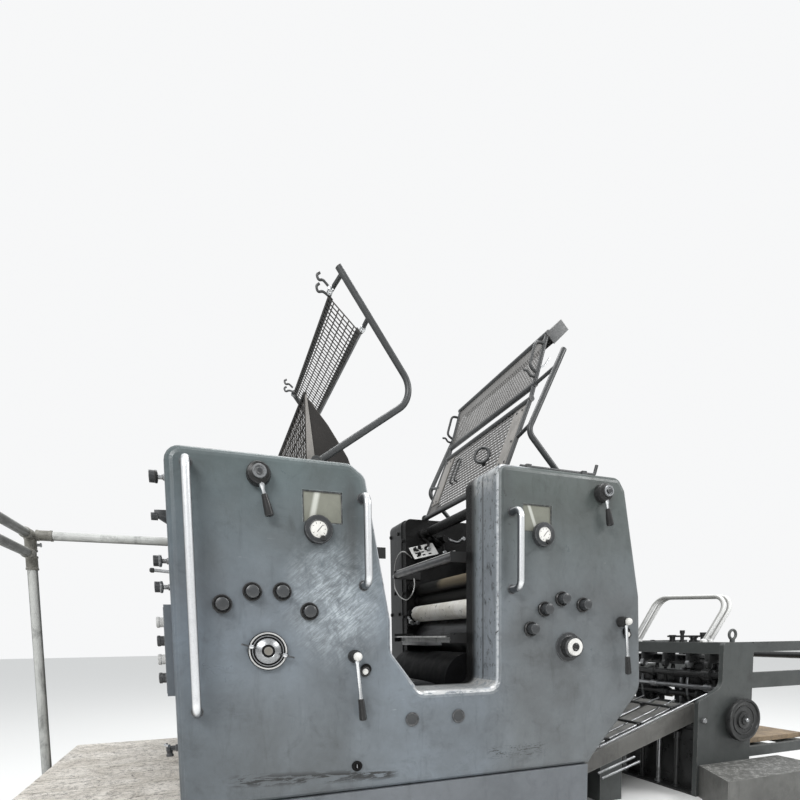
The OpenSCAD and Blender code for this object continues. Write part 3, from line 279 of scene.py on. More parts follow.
# Darker and greener towards the top, bluer and paler towards the bottom
colour = came["Color"]
for mask, tint in (
        (stretch(level, 1.10, 1.60), (0.56, 0.61, 0.55)),
        (times(stretch(side, -0.15, -0.5), stretch(level, 0.95, 0.60)), (0.82, 0.80, 0.77)),
        (stretch(side, 0.15, 0.35), (0.84, 0.80, 0.75)),
        # The last entry darkens the far left end: painted shade.
        (times(stretch(side, -0.75, -1.03), 0.7), (0.62, 0.65, 0.68))):
    colour = mixed(mask, colour, tint, "MULTIPLY")
# The patch that shoulders and rags rub, lighter and with fine crossed scratches
from_patch = add(spot, "Mapping", {"Vector": spot, "Location": (0.47, 0.75, -0.88),
                                   "Scale": (1.0, 1.0, 0.8)}).outputs[0]
reach = add(spot, "VectorMath", {0: from_patch}, operation="LENGTH").outputs["Value"]
slanted = add(spot, "Mapping", {"Vector": spot, "Rotation": (0, 0.7, 0)}).outputs[0]
hairs = stretch(cloud(slanted, 0.006, 3, 0.6, 0.7, (0.14, 1, 1)), 0.42, 0.60)
front = stretch(depth, -0.70, -0.745)
rubbed = both(stretch(reach, 0.23, 0.06), stretch(cloud(spot, 0.07, 7, 0.75, 0.8), 0.36, 0.58),
              stretch(hairs, 0, 1, 0.35, 1.0), front, 0.80)
colour = mixed(rubbed, colour, (0.47, 0.52, 0.55))
# Painted shade beside the grab bars and over the dial, streaked with old oil
runs = stretch(cloud(spot, 0.11, 5, 0.6, 0.3, (1.0, 1.0, 0.22)), 0.50, 0.72)
left_bar_shade = both(band(side, -0.465, -0.415, -0.40, -0.34), band(level, 1.12, 1.2, 1.50, 1.62), 0.9)
right_bar_shade = both(band(side, 0.24, 0.27, 0.285, 0.33), stretch(level, 1.10, 1.25), 0.8)
beside = both(times(left_bar_shade, right_bar_shade, "ADD"), stretch(runs, 0, 1, 0.5, 1.0), front)
colour = mixed(beside, colour, (0.045, 0.048, 0.048))
# Black scuffs in a slanting row over the seam, a shorter row on the right, and the seam itself
rise = times(level, times(side, 0.055), "ADD")
scuff = both(band(rise, 0.345, 0.365, 0.385, 0.405), band(side, -0.90, -0.86, -0.27, -0.22),
             stretch(cloud(spot, 0.045, 8, 0.75, 0.6, (0.35, 1, 2.2)), 0.48, 0.52),
             stretch(cloud(spot, 0.16, 2), 0.40, 0.46))
scuff_right = both(band(level, 0.39, 0.41, 0.45, 0.47), band(side, 0.18, 0.22, 0.48, 0.52),
                   stretch(cloud(spot, 0.022, 7, 0.8, 1.5, (0.4, 1, 2)), 0.54, 0.58))
colour = mixed(both(times(scuff, scuff_right, "MAXIMUM"), front, 0.92), colour, 0.016)
colour = mixed(times(band(level, 0.3255, 0.329, 0.331, 0.3345), 0.7), colour, 0.03)
# Everything that looks into the gap: walls lightened near the front as painted light, a painted
# highlight and a painted dark step line on them, ink near its mouth, and black inside from ink and
# painted shade
near_gap = times(stretch(absolute(side), 0.42, 0.36), stretch(level, 0.66, 0.74))
walls = times(near_gap, stretch(absolute(looks["Y"]), 0.85, 0.60))
deep = absolute(depth)
flecks = stretch(cloud(spot, 0.024, 7, 0.8, 0.5, (1, 1, 0.6)), 0.55, 0.60)
specks = stretch(cloud(spot, 0.028, 7, 0.8, 0.5, (1, 1, 0.6)), 0.60, 0.64)
greasy = stretch(cloud(spot, 0.10, 7, 0.75, 0.5, (1, 1, 0.4)), 0.40, 0.68)
beside_gap = both(band(side, 0.10, 0.20, 0.30, 0.36), stretch(level, 0.9, 1.1), front)
floor_worn = both(near_gap, stretch(level, 0.80, 0.745), stretch(looks["Z"], 0.1, 0.5),
                  stretch(cloud(spot, 0.025, 7, 0.8, 0.8, (0.5, 1, 1)), 0.42, 0.52))
for mask, tint in (
        # Lighter walls near the front: painted light on walls that lie in shade.
        (both(walls, stretch(deep, 0.53, 0.58), 0.6), (0.30, 0.33, 0.36)),
        (both(walls, stretch(level, 1.58, 1.66), stretch(cloud(spot, 0.05, 6, 0.7), 0.40, 0.52), 0.8),
         (0.50, 0.51, 0.51)),
        # Painted highlight along the front edge of each wall.
        (both(walls, stretch(deep, 0.728, 0.738), stretch(cloud(spot, 0.04, 6, 0.7), 0.34, 0.50), 0.85),
         (0.60, 0.62, 0.64)),
        # A dark line down each wall: painted shade of a step.
        (both(walls, band(deep, 0.600, 0.606, 0.616, 0.622), 0.6), 0.03),
        (both(walls, flecks, 0.85), 0.02),
        (both(beside_gap, specks, 0.85), 0.02),
        (both(walls, greasy, 0.35), 0.05),
        (floor_worn, (0.62, 0.62, 0.61))):
    colour = mixed(mask, colour, tint)
# Black deep in the gap and near it on the far cover: ink and painted shade together.
ink_and_gap_shade = times(stretch(deep, 0.545, 0.512), walls)
ink_and_gap_shade = times(ink_and_gap_shade, stretch(deep, 0.508, 0.500), "MAXIMUM")
ink_and_gap_shade = times(ink_and_gap_shade, times(near_gap, came["Ink"]), "MAXIMUM")
rough = mixed(times(walls, 0.6), mixed(ink_and_gap_shade, came["Rough"], 0.5), 0.28)
give(goes, Color=mixed(times(ink_and_gap_shade, 0.95), colour, 0.012), Roughness=rough,
     Metal=times(floor_worn, 0.7))


def marked(material, ink):
    """Lays the marks of the towers over a paint, painted shade and painted light among them."""
    tree = material.node_tree
    pattern = tree.nodes["pattern"].outputs
    marks = add(tree, "Group", {"Place": object_place(material), "Color": pattern["Color"],
                                "Rough": pattern["Roughness"], "Ink": ink},
                node_tree=bpy.data.node_groups["tower_marks_and_shade"])
    for out, into in (("Color", "Base Color"), ("Roughness", "Roughness"), ("Metal", "Metallic")):
        tree.links.new(marks.outputs[out], tree.nodes["Principled BSDF"].inputs[into])
    return material


grey = ((0.172, 0.200, 0.226), (0.112, 0.126, 0.138), (0.38, 0.40, 0.42), 0.8, 0.42, 0.38)
dress(marked(finish("grey_enamel", *grey, bump=0.0003), 0.0), "operator_cover", "end_covers")
# Near the gap the far cover takes the full mask, black from ink and painted shade.
dress(marked(finish("far_grey_enamel", *grey, bump=0.0003, shine=0.2), 1.0), "drive_cover")
bed_paint = finish("bed_paint", (0.150, 0.163, 0.178), (0.112, 0.122, 0.132), (0.30, 0.31, 0.32),
                   0.6, 0.35, 0.46)
dress(bed_paint, "bed")

# Side frames and cross ties
# The two cast iron frames that carry every cylinder, and the turned bars that tie them. Inside the
# machine all of it is black with ink and oil.
came, goes = new_group("inky_iron", {"Iron": tone(0.05), "Stain": tone(0.01), "Ink": 0.6,
                                     "Gloss": 0.35}, "Color Roughness Metal Height")
spot = came["Place"]
blots = stretch(cloud(spot, 0.06, 9, 0.78, 0.2), 0.36, 0.60)
dust = stretch(cloud(spot, 0.012, 7, 0.85), 0.60, 0.70)
colour = mixed(times(blots, came["Ink"]), came["Iron"], came["Stain"])
give(goes, Color=mixed(times(dust, 0.22), colour, (0.10, 0.095, 0.09)),
     Roughness=times(came["Gloss"], stretch(blots, 0, 1, 0.16, -0.06), "ADD"),
     Metal=stretch(blots, 0, 1, 0.3, 0.0), Height=cloud(spot, 0.010, 6, 0.75))
iron = finish("inky_cast_iron", 0.018, 0.006, 0.9, 0.42, pattern="inky_iron", bump=0.004, shine=0.12)
dress(iron, "operator_side_frame", "drive_side_frame", "cross_ties")

# Printing cylinders
# Five ground cylinders: metal plates on the upper two, rubber blankets on the next two and a steel
# impression cylinder at the bottom, all of them dark with ink.
came, goes = new_group("ground_metal", {"Light": tone(0.5), "Dark": tone(0.2), "Stain": 0.4,
                                        "Shine": 0.3, "Metallic": 1.0}, "Color Roughness Metal Height")
spot = came["Place"]
grain = cloud(spot, 0.004, 3, 0.5, 0, (1, 0.03, 1))
stain = times(stretch(cloud(spot, 0.07, 7, 0.7, 0.5), 0.50, 0.66), came["Stain"])
colour = mixed(stretch(grain, 0.3, 0.7), came["Light"], came["Dark"])
give(goes, Color=mixed(stain, colour, (0.03, 0.028, 0.025)),
     Roughness=times(came["Shine"], stretch(stain, 0, 1, -0.02, 0.2), "ADD"),
     Metal=times(came["Metallic"], stretch(stain, 0, 1, 1, 0.2)), Height=grain)
ground_steel = finish("ground_steel", (0.20, 0.205, 0.21), (0.10, 0.10, 0.105), 0.9, 0.34,
                      pattern="ground_metal", bump=0.0001)
plate_metal = finish("plate_metal", (0.08, 0.082, 0.085), (0.035, 0.035, 0.037), 1.0, 0.36,
                     pattern="ground_metal", bump=0.0001)
blanket_rubber = finish("blanket_rubber", (0.008, 0.008, 0.009), 0.004, 0.9, 0.5,
                        pattern="inky_iron", bump=0.0006, shine=0.06)
dress(ground_steel, "impression_cylinder")
dress(blanket_rubber, "blanket_cylinder_left", "blanket_cylinder_right")
dress(plate_metal, "plate_cylinder_left", "plate_cylinder_right")

# Ink and damping rollers
# Rubber rollers that carry ink down from the duct, wet black with it, and three damping rollers a
# unit. The lowest of those wears a cloth sleeve that was once white, its creases darkened as painted
# shade. The others are painted black as shade deep in the unit, with a brown stain showing only
# near the operator's end of the top ones.
dress(finish("inked_rubber", 0.012, (0.005, 0.005, 0.006), 1.0, 0.30, pattern="inky_iron",
             bump=0.0006, shine=0.15), "ink_rollers", "ink_ducts")
came, goes = new_group("damp_cloth", {"Cloth": tone(0.7), "Tint": tone(0.3), "Upper": tone(0.05)},
                       "Color Roughness Height")
spot = came["Place"]
_, across, level = parts(spot)
weave = add(spot, "TexWave", {"Vector": spot, "Scale": 190.0, "Distortion": 1.2, "Detail": 2.0},
            wave_type="BANDS", bands_direction="Y").outputs["Fac"]
soaked = stretch(cloud(spot, 0.16, 6, 0.65, 0.6), 0.42, 0.68)
colour = mixed(soaked, came["Cloth"], came["Tint"])
colour = mixed(times(weave, 0.25), colour, (0.45, 0.42, 0.36), "MULTIPLY")
# Dark creases: painted shade in the folds of the cloth.
crease_shade = stretch(cloud(spot, 0.035, 6, 0.7, 1.0, (1, 0.6, 1)), 0.60, 0.66)
colour = mixed(times(crease_shade, 0.8), colour, (0.05, 0.045, 0.04))
# The upper rollers go black away from the operator's end: painted shade.
upper = stretch(level, 1.143, 1.147)
near_end = times(stretch(across, 0.06, -0.02), stretch(level, 1.22, 1.24))
brown_stain_and_shade = mixed(near_end, (0.010, 0.010, 0.009), came["Upper"])
give(goes, Color=mixed(upper, colour, brown_stain_and_shade), Roughness=stretch(upper, 0, 1, 0.85, 0.45), Height=weave)
dress(finish("damping_sleeve", (0.95, 0.94, 0.90), (0.72, 0.69, 0.62), (0.20, 0.165, 0.11),
             pattern="damp_cloth", bump=0.0008, shine=0.1), "damping_rollers")

# Small gear inside the gap
# Between the frames stand the finger guards over the sheet's path, two thin shafts, the perforated
# bracket of the damping feed with its screws, roller ends in their boxes and catches, all loaded
# with ink. They are pressed, drilled and turned parts screwed to the far side frame.
frame_face = 0.432
wall = 0.243


def choose(piece):
    """Leaves one object selected and active."""
    bpy.ops.object.select_all(action="DESELECT")
    piece.select_set(True)
    bpy.context.view_layer.objects.active = piece


def pick(piece, wanted):
    """Opens a piece for editing with only the faces that the test wants."""
    choose(piece)
    for group in (piece.data.vertices, piece.data.edges):
        group.foreach_set("select", [False] * len(group))
    for face in piece.data.polygons:
        face.select = bool(wanted(face.center, face.normal))
    bpy.ops.object.mode_set(mode="EDIT")
    bpy.ops.mesh.select_mode(type="FACE")


def squeeze(piece, wanted, factor, centre=(0, 0, 0)):
    """Narrows the wanted faces of a piece about a centre."""
    pick(piece, wanted)
    bpy.ops.transform.resize(value=factor, center_override=centre)
    bpy.ops.object.mode_set(mode="OBJECT")


def punch(piece, cuts, wanted):
    """Divides a sheet evenly and takes the wanted faces out of it."""
    pick(piece, lambda at, way: True)
    bpy.ops.mesh.subdivide(number_cuts=cuts)
    bpy.ops.object.mode_set(mode="OBJECT")
    pick(piece, wanted)
    bpy.ops.mesh.delete(type="FACE")
    bpy.ops.object.mode_set(mode="OBJECT")


def emboss(piece, wanted, rim, step):
    """Insets the wanted face by a rim and moves it by a step."""
    pick(piece, wanted)
    bpy.ops.mesh.inset(thickness=rim)
    bpy.ops.mesh.extrude_region_move(TRANSFORM_OT_translate={"value": step})
    bpy.ops.object.mode_set(mode="OBJECT")


def settle(piece, name, material, body="press_frame", bevel=0.0, angle=35):
    """Fixes a piece's place into its mesh, rounds its edges and gives it its skin."""
    choose(piece)
    bpy.ops.object.transform_apply(location=True, rotation=True, scale=True)
    if bevel:
        edge = piece.modifiers.new("edges", "BEVEL")
        edge.width = bevel
        edge.segments = 2
        edge.limit_method = "ANGLE"
        bpy.ops.object.modifier_apply(modifier="edges")
    bpy.ops.object.shade_smooth_by_angle(angle=math.radians(angle))
    piece.name = name
    piece.data.materials.append(material)
    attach(piece, body)
    return piece


def blank(place, size):
    """A raw rectangular piece, to be shaped further."""
    bpy.ops.mesh.primitive_cube_add(size=1, location=place, scale=size)
    bpy.ops.object.transform_apply(location=True, rotation=True, scale=True)
    return bpy.context.object


def block(name, low, high, material, body="press_frame", bevel=0.002):
    """A machined block between two corners, with its edges broken."""
    size = Vector(high) - Vector(low)
    return settle(blank((Vector(low) + Vector(high)) / 2, size), name, material, body, bevel)


def turned(name, rings, place, material, body="press_frame", sides=32, axis=(0, -1, 0)):
    """A lathe-turned piece: rings of radius and level in mm, drawn up one after another."""
    rings = [(radius / 1000, level / 1000) for radius, level in rings]
    (first, low), (second, high) = rings[:2]
    bpy.ops.mesh.primitive_cone_add(vertices=sides, radius1=first, radius2=second, depth=high - low,
                                    location=(0, 0, (low + high) / 2))
    piece = bpy.context.object
    bpy.ops.object.transform_apply(location=True)
    pick(piece, lambda at, way: way.z > 0.9 and at.z > high - 1e-5)
    for (wide, level), (wider, above) in zip(rings[1:], rings[2:]):
        bpy.ops.mesh.extrude_region_move(TRANSFORM_OT_translate={"value": (0, 0, above - level)})
        bpy.ops.transform.resize(value=(wider / wide, wider / wide, 1), center_override=(0, 0, 0))
    bpy.ops.object.mode_set(mode="OBJECT")
    turn = Vector(axis).to_track_quat("Z", "Y").to_matrix().to_4x4()
    piece.matrix_world = Matrix.Translation(place) @ turn
    return settle(piece, name, material, body)


def bent_rod(name, points, radius, material, body="press_frame", bend=0.02, closed=False):
    """A round bar through corner points, each bend drawn as a small arc."""
    count = len(points)
    corners = [Vector(p) for p in points]
    run = [] if closed else [corners[0]]
    for i in range(0 if closed else 1, count if closed else count - 1):
        before, at, after = corners[i - 1], corners[i], corners[(i + 1) % count]
        back, on = before - at, after - at
        cut = min(bend, back.length * 0.49, on.length * 0.49)
        start, stop = at + back.normalized() * cut, at + on.normalized() * cut
        for step in range(5):
            t = step / 4
            run.append(start * (1 - t) ** 2 + at * 2 * t * (1 - t) + stop * t * t)
    if not closed:
        run.append(corners[-1])
    bpy.ops.curve.primitive_bezier_curve_add()
    piece = bpy.context.object
    line = piece.data
    line.splines.clear()
    path = line.splines.new("POLY")
    path.points.add(len(run) - 1)
    for point, at in zip(path.points, run):
        point.co = (*at, 1)
    path.use_cyclic_u = closed
    line.dimensions = "3D"
    line.bevel_depth = radius
    line.bevel_resolution = 3
    line.use_fill_caps = not closed
    choose(piece)
    piece.location = (0, 0, 0)
    bpy.ops.object.convert(target="MESH")
    return settle(bpy.context.object, name, material, body, 0.0, 50)


def again(piece, name, step, body="press_frame"):
    """A second piece of the same make at another place."""
    choose(piece)
    bpy.ops.object.duplicate_move(OBJECT_OT_duplicate={"linked": False},
                                  TRANSFORM_OT_translate={"value": step})
    copy = bpy.context.object
    bpy.ops.object.transform_apply(location=True, rotation=True, scale=True)
    copy.name = name
    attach(copy, body)


def dark_ends(material, reach):
    """Blackens a part with ink beyond a distance from the middle of the machine."""
    across = absolute(parts(object_place(material))["Y"])
    return tinted(material, stretch(across, reach, reach + 0.03), 0.022)


bright = finish("bright_plating", (0.82, 0.83, 0.84), (0.66, 0.67, 0.68), 0.10, 0.18,
                pattern="ground_metal", bump=0.00005)
worn_steel = finish("worn_steel", (0.42, 0.43, 0.44), (0.24, 0.245, 0.25), 0.6, 0.34,
                    pattern="ground_metal", bump=0.0001)
zinc_tube = finish("zinc_tube", (0.50, 0.50, 0.49), (0.34, 0.34, 0.33), 0.7, 0.5, 0.5, 0.35, bump=0.0002)
white_steel = finish("whitened_steel", (0.86, 0.86, 0.85), (0.62, 0.62, 0.61), 0.9, 0.7, 0.9, 0.35,
                     bump=0.0003)
dress(dark_ends(white_steel.copy(), 0.36), "finger_guards")
shaft_grey = finish("shaft_grey", (0.060, 0.062, 0.066), (0.030, 0.031, 0.033), (0.30, 0.30, 0.31),
                    0.9, 0.9, 0.34)
dress(dark_ends(shaft_grey, 0.36), "gap_shafts")

bracket = blank((0, 0, 0), (0.165, 0.004, 0.095))
punch(bracket, 7, lambda at, way: abs(way.y) > 0.9 and abs(at.x) < 0.062 and abs(at.z) < 0.034
      and round(at.x / 0.01875 + 0.5) % 2 == 0 and round(at.z / 0.010625 + 0.5) % 2 == 0)
tilt = Matrix.Translation((0.340, 0.355, 1.487)) @ Matrix.Rotation(
    math.radians(-14), 4, "Y") @ Matrix.Rotation(math.radians(-35), 4, "X")
bracket.matrix_world = tilt
settle(bracket, "damping_bracket", zinc_tube)
for i, (x, z) in enumerate(((-0.052, 0.022), (-0.018, 0.030), (0.020, 0.012), (-0.040, -0.020)), 1):
    turned(f"bracket_screw_{i}", ((11, 0), (12, 12), (9, 14), (6, 24)), tilt @ Vector((x, 0.0, z)), iron,
           sides=12, axis=tilt.to_3x3() @ Vector((0, -1, 0)))
for i, x in enumerate((0.300, 0.385), 1):
    turned(f"bracket_stem_{i}", ((16, 0), (16, 8), (10, 10), (10, 75)), (x, frame_face, 1.487), iron,
           sides=16)
for i, (x, z, wide, deep) in enumerate((
        (0.36, 1.60, 30, 90), (0.46, 1.56, 38, 120), (0.28, 1.26, 28, 80), (0.33, 1.18, 36, 100),
        (0.275, 1.10, 26, 70), (0.42, 1.20, 30, 100), (0.270, 1.02, 24, 60), (0.50, 1.46, 32, 100)), 1):
    turned(f"roller_box_{i}", ((wide * 0.7, 0), (wide, 6), (wide, deep * 0.4), (wide * 0.6, deep * 0.45),
                               (wide * 0.55, deep), (wide * 0.3, deep)),
           (x, frame_face + 0.008, z), iron, sides=16, axis=(0.15, -1, 0.05))
# The tray's grey is lightened: painted light on a tray that sits in shade.
block("grey_tray", (0.215, 0.02, 0.900), (0.400, frame_face, 0.938), finish(
    "lightened_tray_paint", (0.36, 0.37, 0.38), (0.22, 0.22, 0.23), 0.3, 0.7, 0.8, 0.4, bump=0.0003), bevel=0.006)

for i, route in enumerate((
        ((wall, 0.605, 1.356), (0.226, 0.605, 1.358), (0.226, 0.574, 1.448), (0.226, 0.479, 1.494),
         (0.226, 0.385, 1.484), (0.288, frame_face, 1.452)),
        ((wall, 0.605, 1.344), (0.226, 0.600, 1.340), (0.226, 0.598, 1.275), (0.226, 0.493, 1.205),
         (0.226, 0.354, 1.178), (0.245, 0.310, 1.215), (0.280, 0.360, 1.275), (0.300, frame_face, 1.330)),
        ((wall, 0.610, 1.352), (0.222, 0.600, 1.354), (0.190, 0.450, 1.366), (0.189, -0.424, 1.366)),
        ((wall, 0.600, 1.348), (0.220, 0.590, 1.350), (0.181, 0.440, 1.364), (0.180, -0.424, 1.364))), 1):
    bent_rod(f"oil_pipe_{i}", route, 0.0034, zinc_tube, bend=0.05)
turned("oil_union", ((16, 0), (16, 10), (11, 12), (11, 24), (8, 26)), (wall + 0.001, 0.605, 1.350),
       worn_steel, sides=6, axis=(-1, 0, 0))
for i, route in enumerate((
        ((0.405, frame_face, 1.610), (0.425, 0.36, 1.560), (0.470, 0.35, 1.535), (0.478, 0.35, 1.480)),
        ((0.520, frame_face, 1.600), (0.515, 0.34, 1.560), (0.560, 0.33, 1.545), (0.600, 0.33, 1.570)),
        ((0.345, frame_face, 1.590), (0.380, 0.37, 1.545), (0.372, 0.36, 1.500)),
        ((0.262, frame_face, 1.080), (0.242, 0.37, 1.065), (0.262, 0.37, 1.030), (0.300, 0.37, 1.040)),
        ((0.262, frame_face, 1.000), (0.235, 0.38, 1.020), (0.250, 0.36, 1.045)),
        ((0.440, frame_face, 1.225), (0.400, 0.36, 1.200), (0.372, 0.36, 1.150), (0.405, 0.36, 1.125)))):
    bent_rod(f"cranked_lever_{i + 1}", route, 0.0085, worn_steel if i % 2 else iron, bend=0.012)
    turned(f"lever_pin_{i + 1}", ((12, -4), (14, -2), (14, 14), (10, 17)), route[-1], worn_steel,
           sides=12)
for i, (y, z) in enumerate(((0.700, 1.620), (0.550, 1.620), (0.700, 1.100), (0.550, 1.100),
                            (0.625, 1.240), (0.465, 1.560), (0.465, 1.230), (0.465, 1.080)), 1):
    turned(f"wall_bolt_{i}", ((12, 0), (12, 9), (10, 11)), (wall + 0.0005, y, z), iron, sides=6,
           axis=(-1, 0, 0))

# Levers on the towers
# Impression levers at the top and damping levers lower down, on both towers. Steel shafts turned
# from bar in cast hubs, with moulded black grips. They swing on a spindle through the cover.
face = -0.750
black = finish("black_moulding", 0.020, 0.030, 0.16, 0.5, 0.2, 0.28, bump=0.0001, shine=0.25)
dark_cast = finish("dark_casting", (0.046, 0.048, 0.050), (0.030, 0.032, 0.034), 0.30, 0.8, 0.3, 0.34,
                   bump=0.0003, shine=0.3)
white_ball = finish("white_ball", (0.78, 0.77, 0.74), (0.66, 0.65, 0.62), 0.8, 0.1, 0.15, 0.25,
                    bump=0.0001)
for tower, x, z in (("left", -0.750, 1.546), ("right", 0.793, 1.611)):
    body = "throw_lever_" + tower
    lean = math.radians(12.5)
    down = Vector((math.sin(lean), 0, -math.cos(lean)))
    hub = turned("throw_hub_" + tower, (
        (36, 1), (43, 4), (43, 30), (38, 40), (27, 43), (26, 52), (22, 55)), (x, face, z), black, body, 40)
    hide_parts("top_lever_" + tower)
    turned("throw_ring_" + tower, ((24, 0), (25.5, 3), (24, 6), (18, 6), (18, 2)),
           (x, face - 0.054, z), worn_steel, body)
    turned("throw_nut_" + tower, ((13, 0), (13, 7), (11, 9)), (x, face - 0.055, z), dark_cast, body, 6)
    start = Vector((x, face - 0.030, z)) + down * 0.034
    turned("throw_neck_" + tower, ((11, 0), (10, 16), (7, 22), (6.5, 52)), start, bright, body, 20, down)
    turned("throw_grip_" + tower, ((8, 0), (11, 3), (11.5, 10), (15, 44), (16.5, 70), (16, 77), (10, 80)),
           start + down * 0.040, black, body, 20, down)
for tower, x, z in (("left", -0.408, 0.880), ("right", 0.921, 1.015)):
    body = "damping_lever_" + tower
    lean = math.radians(5)
    down = Vector((math.sin(lean), 0, -math.cos(lean)))
    hub = turned("damping_hub_" + tower, ((22, 1), (26, 4), (26, 26), (22, 32), (19, 46)),
                 (x, face, z), black, body)
    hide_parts("low_lever_" + tower)
    bpy.ops.mesh.primitive_uv_sphere_add(segments=28, ring_count=16, radius=0.0175,
                                         location=(x + 0.001, face - 0.058, z))
    ball = bpy.context.object
    bpy.ops.object.transform_apply(location=True)
    squeeze(ball, lambda at, way: at.y > face - 0.049, (0.7, 1, 0.7), (x, face - 0.045, z))
    settle(ball, "damping_ball_" + tower, white_ball, body, 0.0, 60)
    start = Vector((x, face - 0.040, z)) + down * 0.018
    turned("damping_rod_" + tower, ((8, -10), (9.5, 4), (7.5, 12), (7.5, 130), (9.5, 150), (9.5, 160)),
           start, bright, body, 20, down)
    turned("damping_grip_" + tower, (
        (9, 0), (12.5, 4), (12.5, 14), (14, 50), (15.5, 78), (15, 86), (10, 89)),
        start + down * 0.148, black, body, 6, down)
    turned("damping_button_rim_" + tower, ((19, 0), (21.5, 2), (21.5, 8), (17, 11), (12.5, 9)),
           (x + 0.043, face - 0.0005, z - 0.062), black, sides=28)
    turned("damping_button_" + tower, ((12.5, 0), (12, 10), (9, 12.5)),
           (x + 0.043, face - 0.001, z - 0.062), white_ball, sides=28)

# Unit handwheels
# Plated discs for turning a unit by hand: a flange with engraved rings, a polished hub, and on the
# left one two thin pins held by bright clips. The right one has a knurled black body.
hub_stone = finish("hub_centre", (0.20, 0.185, 0.16), (0.13, 0.12, 0.10), 0.4, 0.6, 0.5, 0.4, bump=0.0003)
# Near-black inky iron: the real black of the key bosses, and painted shade in the handwheel's grooves.
black_and_groove_shade = finish("black_and_groove_shade", 0.010, 0.006, 0.5, 0.5, pattern="inky_iron", bump=0.0002, shine=0.1)
# The black flange, seat and thin groove rings fill the recesses between the plated rings: painted shade in
# the grooves.
for name, sides, material, rings in (
        ("wheel_flange_left", 56, black_and_groove_shade, (
            (68, 1), (71.5, 4), (71.5, 14), (69, 17), (64, 17), (64, 13), (20, 13), (18, 10))),
        ("wheel_ring_left", 56, zinc_tube, ((69, 10), (69, 18), (68, 19), (64, 19), (63, 15))),
        ("wheel_band_left", 56, worn_steel, ((57.5, 10), (57.5, 17), (56.5, 18), (54, 18), (53, 14))),
        ("wheel_groove_1", 56, black_and_groove_shade, ((63, 14.6), (63, 15.4))),
        ("wheel_groove_2", 56, black_and_groove_shade, ((53, 13.6), (53, 14.4))),
        ("wheel_hub_left", 48, worn_steel, ((47.5, 8), (47.5, 19), (45, 22), (25, 29), (23.5, 28))),
        ("wheel_seat_left", 32, black_and_groove_shade, ((24, 12), (24, 28.5), (18, 29))),
        ("wheel_centre_left", 24, hub_stone, ((15.5, 20), (15.5, 30), (12, 31), (5, 30)))):
    turned(name, rings, (-0.738, face, 0.908), material, "unit_wheel_left", sides)
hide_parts("handwheel_left")
for i, turn in enumerate((164, -16), 1):
    way = Vector((math.cos(math.radians(turn)), 0, math.sin(math.radians(turn))))
    middle = Vector((-0.738, face - 0.024, 0.908))
    bent_rod(f"wheel_pin_{i}", [middle + way * 0.048, middle + way * 0.098], 0.0036, dark_cast,
             "unit_wheel_left")
    turned(f"wheel_clip_{i}", ((7, 0), (8.5, 2), (8.5, 14), (7, 16)), middle + way * 0.054, bright,
           "unit_wheel_left", 12, way)
right_middle = (0.617, face, 0.899)
right_wheel = turned("wheel_flange_right", (
    (62, 1), (68, 3), (68, 6), (54, 8), (50, 10), (50, 46), (46, 50), (40, 50)), right_middle, dark_cast,
    "unit_wheel_right", 48)
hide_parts("handwheel_right")
bpy.ops.mesh.primitive_torus_add(major_segments=48, minor_segments=6, major_radius=0.050,
                                 minor_radius=0.003)
knurl = bpy.context.object
squeeze(knurl, lambda at, way: round((math.atan2(at.y, at.x) + math.pi) / (2 * math.pi) * 48) % 2 == 0,
        (0.96, 0.96, 1.0))
knurl.matrix_world = Matrix.Translation((0.617, face - 0.020, 0.899)) @ Matrix.Rotation(
    math.radians(90), 4, "X") @ Matrix.Scale(3.4, 4, (0, 0, 1))
settle(knurl, "wheel_knurl_right", black, "unit_wheel_right", 0.0, 20)
again(knurl, "wheel_knurl_right_2", (0, -0.019, 0), "unit_wheel_right")
turned("wheel_ring_right", ((36, 40), (40, 50), (40, 56), (37, 60), (20, 60), (18, 54)), right_middle,
       white_ball, "unit_wheel_right", 40)
turned("wheel_centre_right", ((17.5, 50), (17.5, 62), (13, 64), (7, 60)), right_middle, black,
       "unit_wheel_right", 24)

# Setting knobs and caps
# Fluted knobs in bezel rings for the duct, form and damping rollers, and round covers over the
# shaft ends low on the bed. Moulded black plastic and turned steel, pressed into the cover.
knob_grey = finish("knob_grey", (0.055, 0.058, 0.061), (0.036, 0.038, 0.040), 0.3, 0.6, 0.3, 0.30,
                   bump=0.0002)
places = ((-0.891, 1.080, 0), (-0.786, 1.126, 0), (-0.679, 1.128, 0), (-0.580, 1.055, 0),
          (0.409, 0.983, 12), (0.482, 1.073, 12), (0.575, 1.120, 12), (0.694, 1.094, 12))
x0, z0, _ = places[0]
knob_ring = turned("knob_ring_1", ((33, 0.5), (34.5, 4), (34.5, 12), (31, 15), (27, 13), (26, 8)),
                   (x0, face, z0), black, sides=40)
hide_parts("setting_knobs")
for i, (x, z, _) in enumerate(places[1:], 2):
    again(knob_ring, f"knob_ring_{i}", (x - x0, 0, z - z0))
for i, (x, z, more) in enumerate(places, 1):
    knob = turned(f"knob_{i}", ((23, 4), (24.5, 10), (24.5, 30 + more), (22.5, 35 + more),
                                (18, 37.5 + more), (8, 38 + more)), (x, face, z), knob_grey, sides=36)
    squeeze(knob, lambda at, way: abs(way.y) < 0.2 and int((math.atan2(
        at.z - z, at.x - x) + math.pi) / (2 * math.pi) * 36) % 3 == 0, (0.94, 1, 0.94), (x, face, z))
cap = turned("large_cap_1", ((29, 0.5), (30, 3), (29, 6), (26, 6.5), (24.5, 3), (12, 2)),
             (-0.165, face, 0.611), knob_grey, sides=40)
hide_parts("bosses_and_caps")
again(cap, "large_cap_2", (0.213, 0, 0))
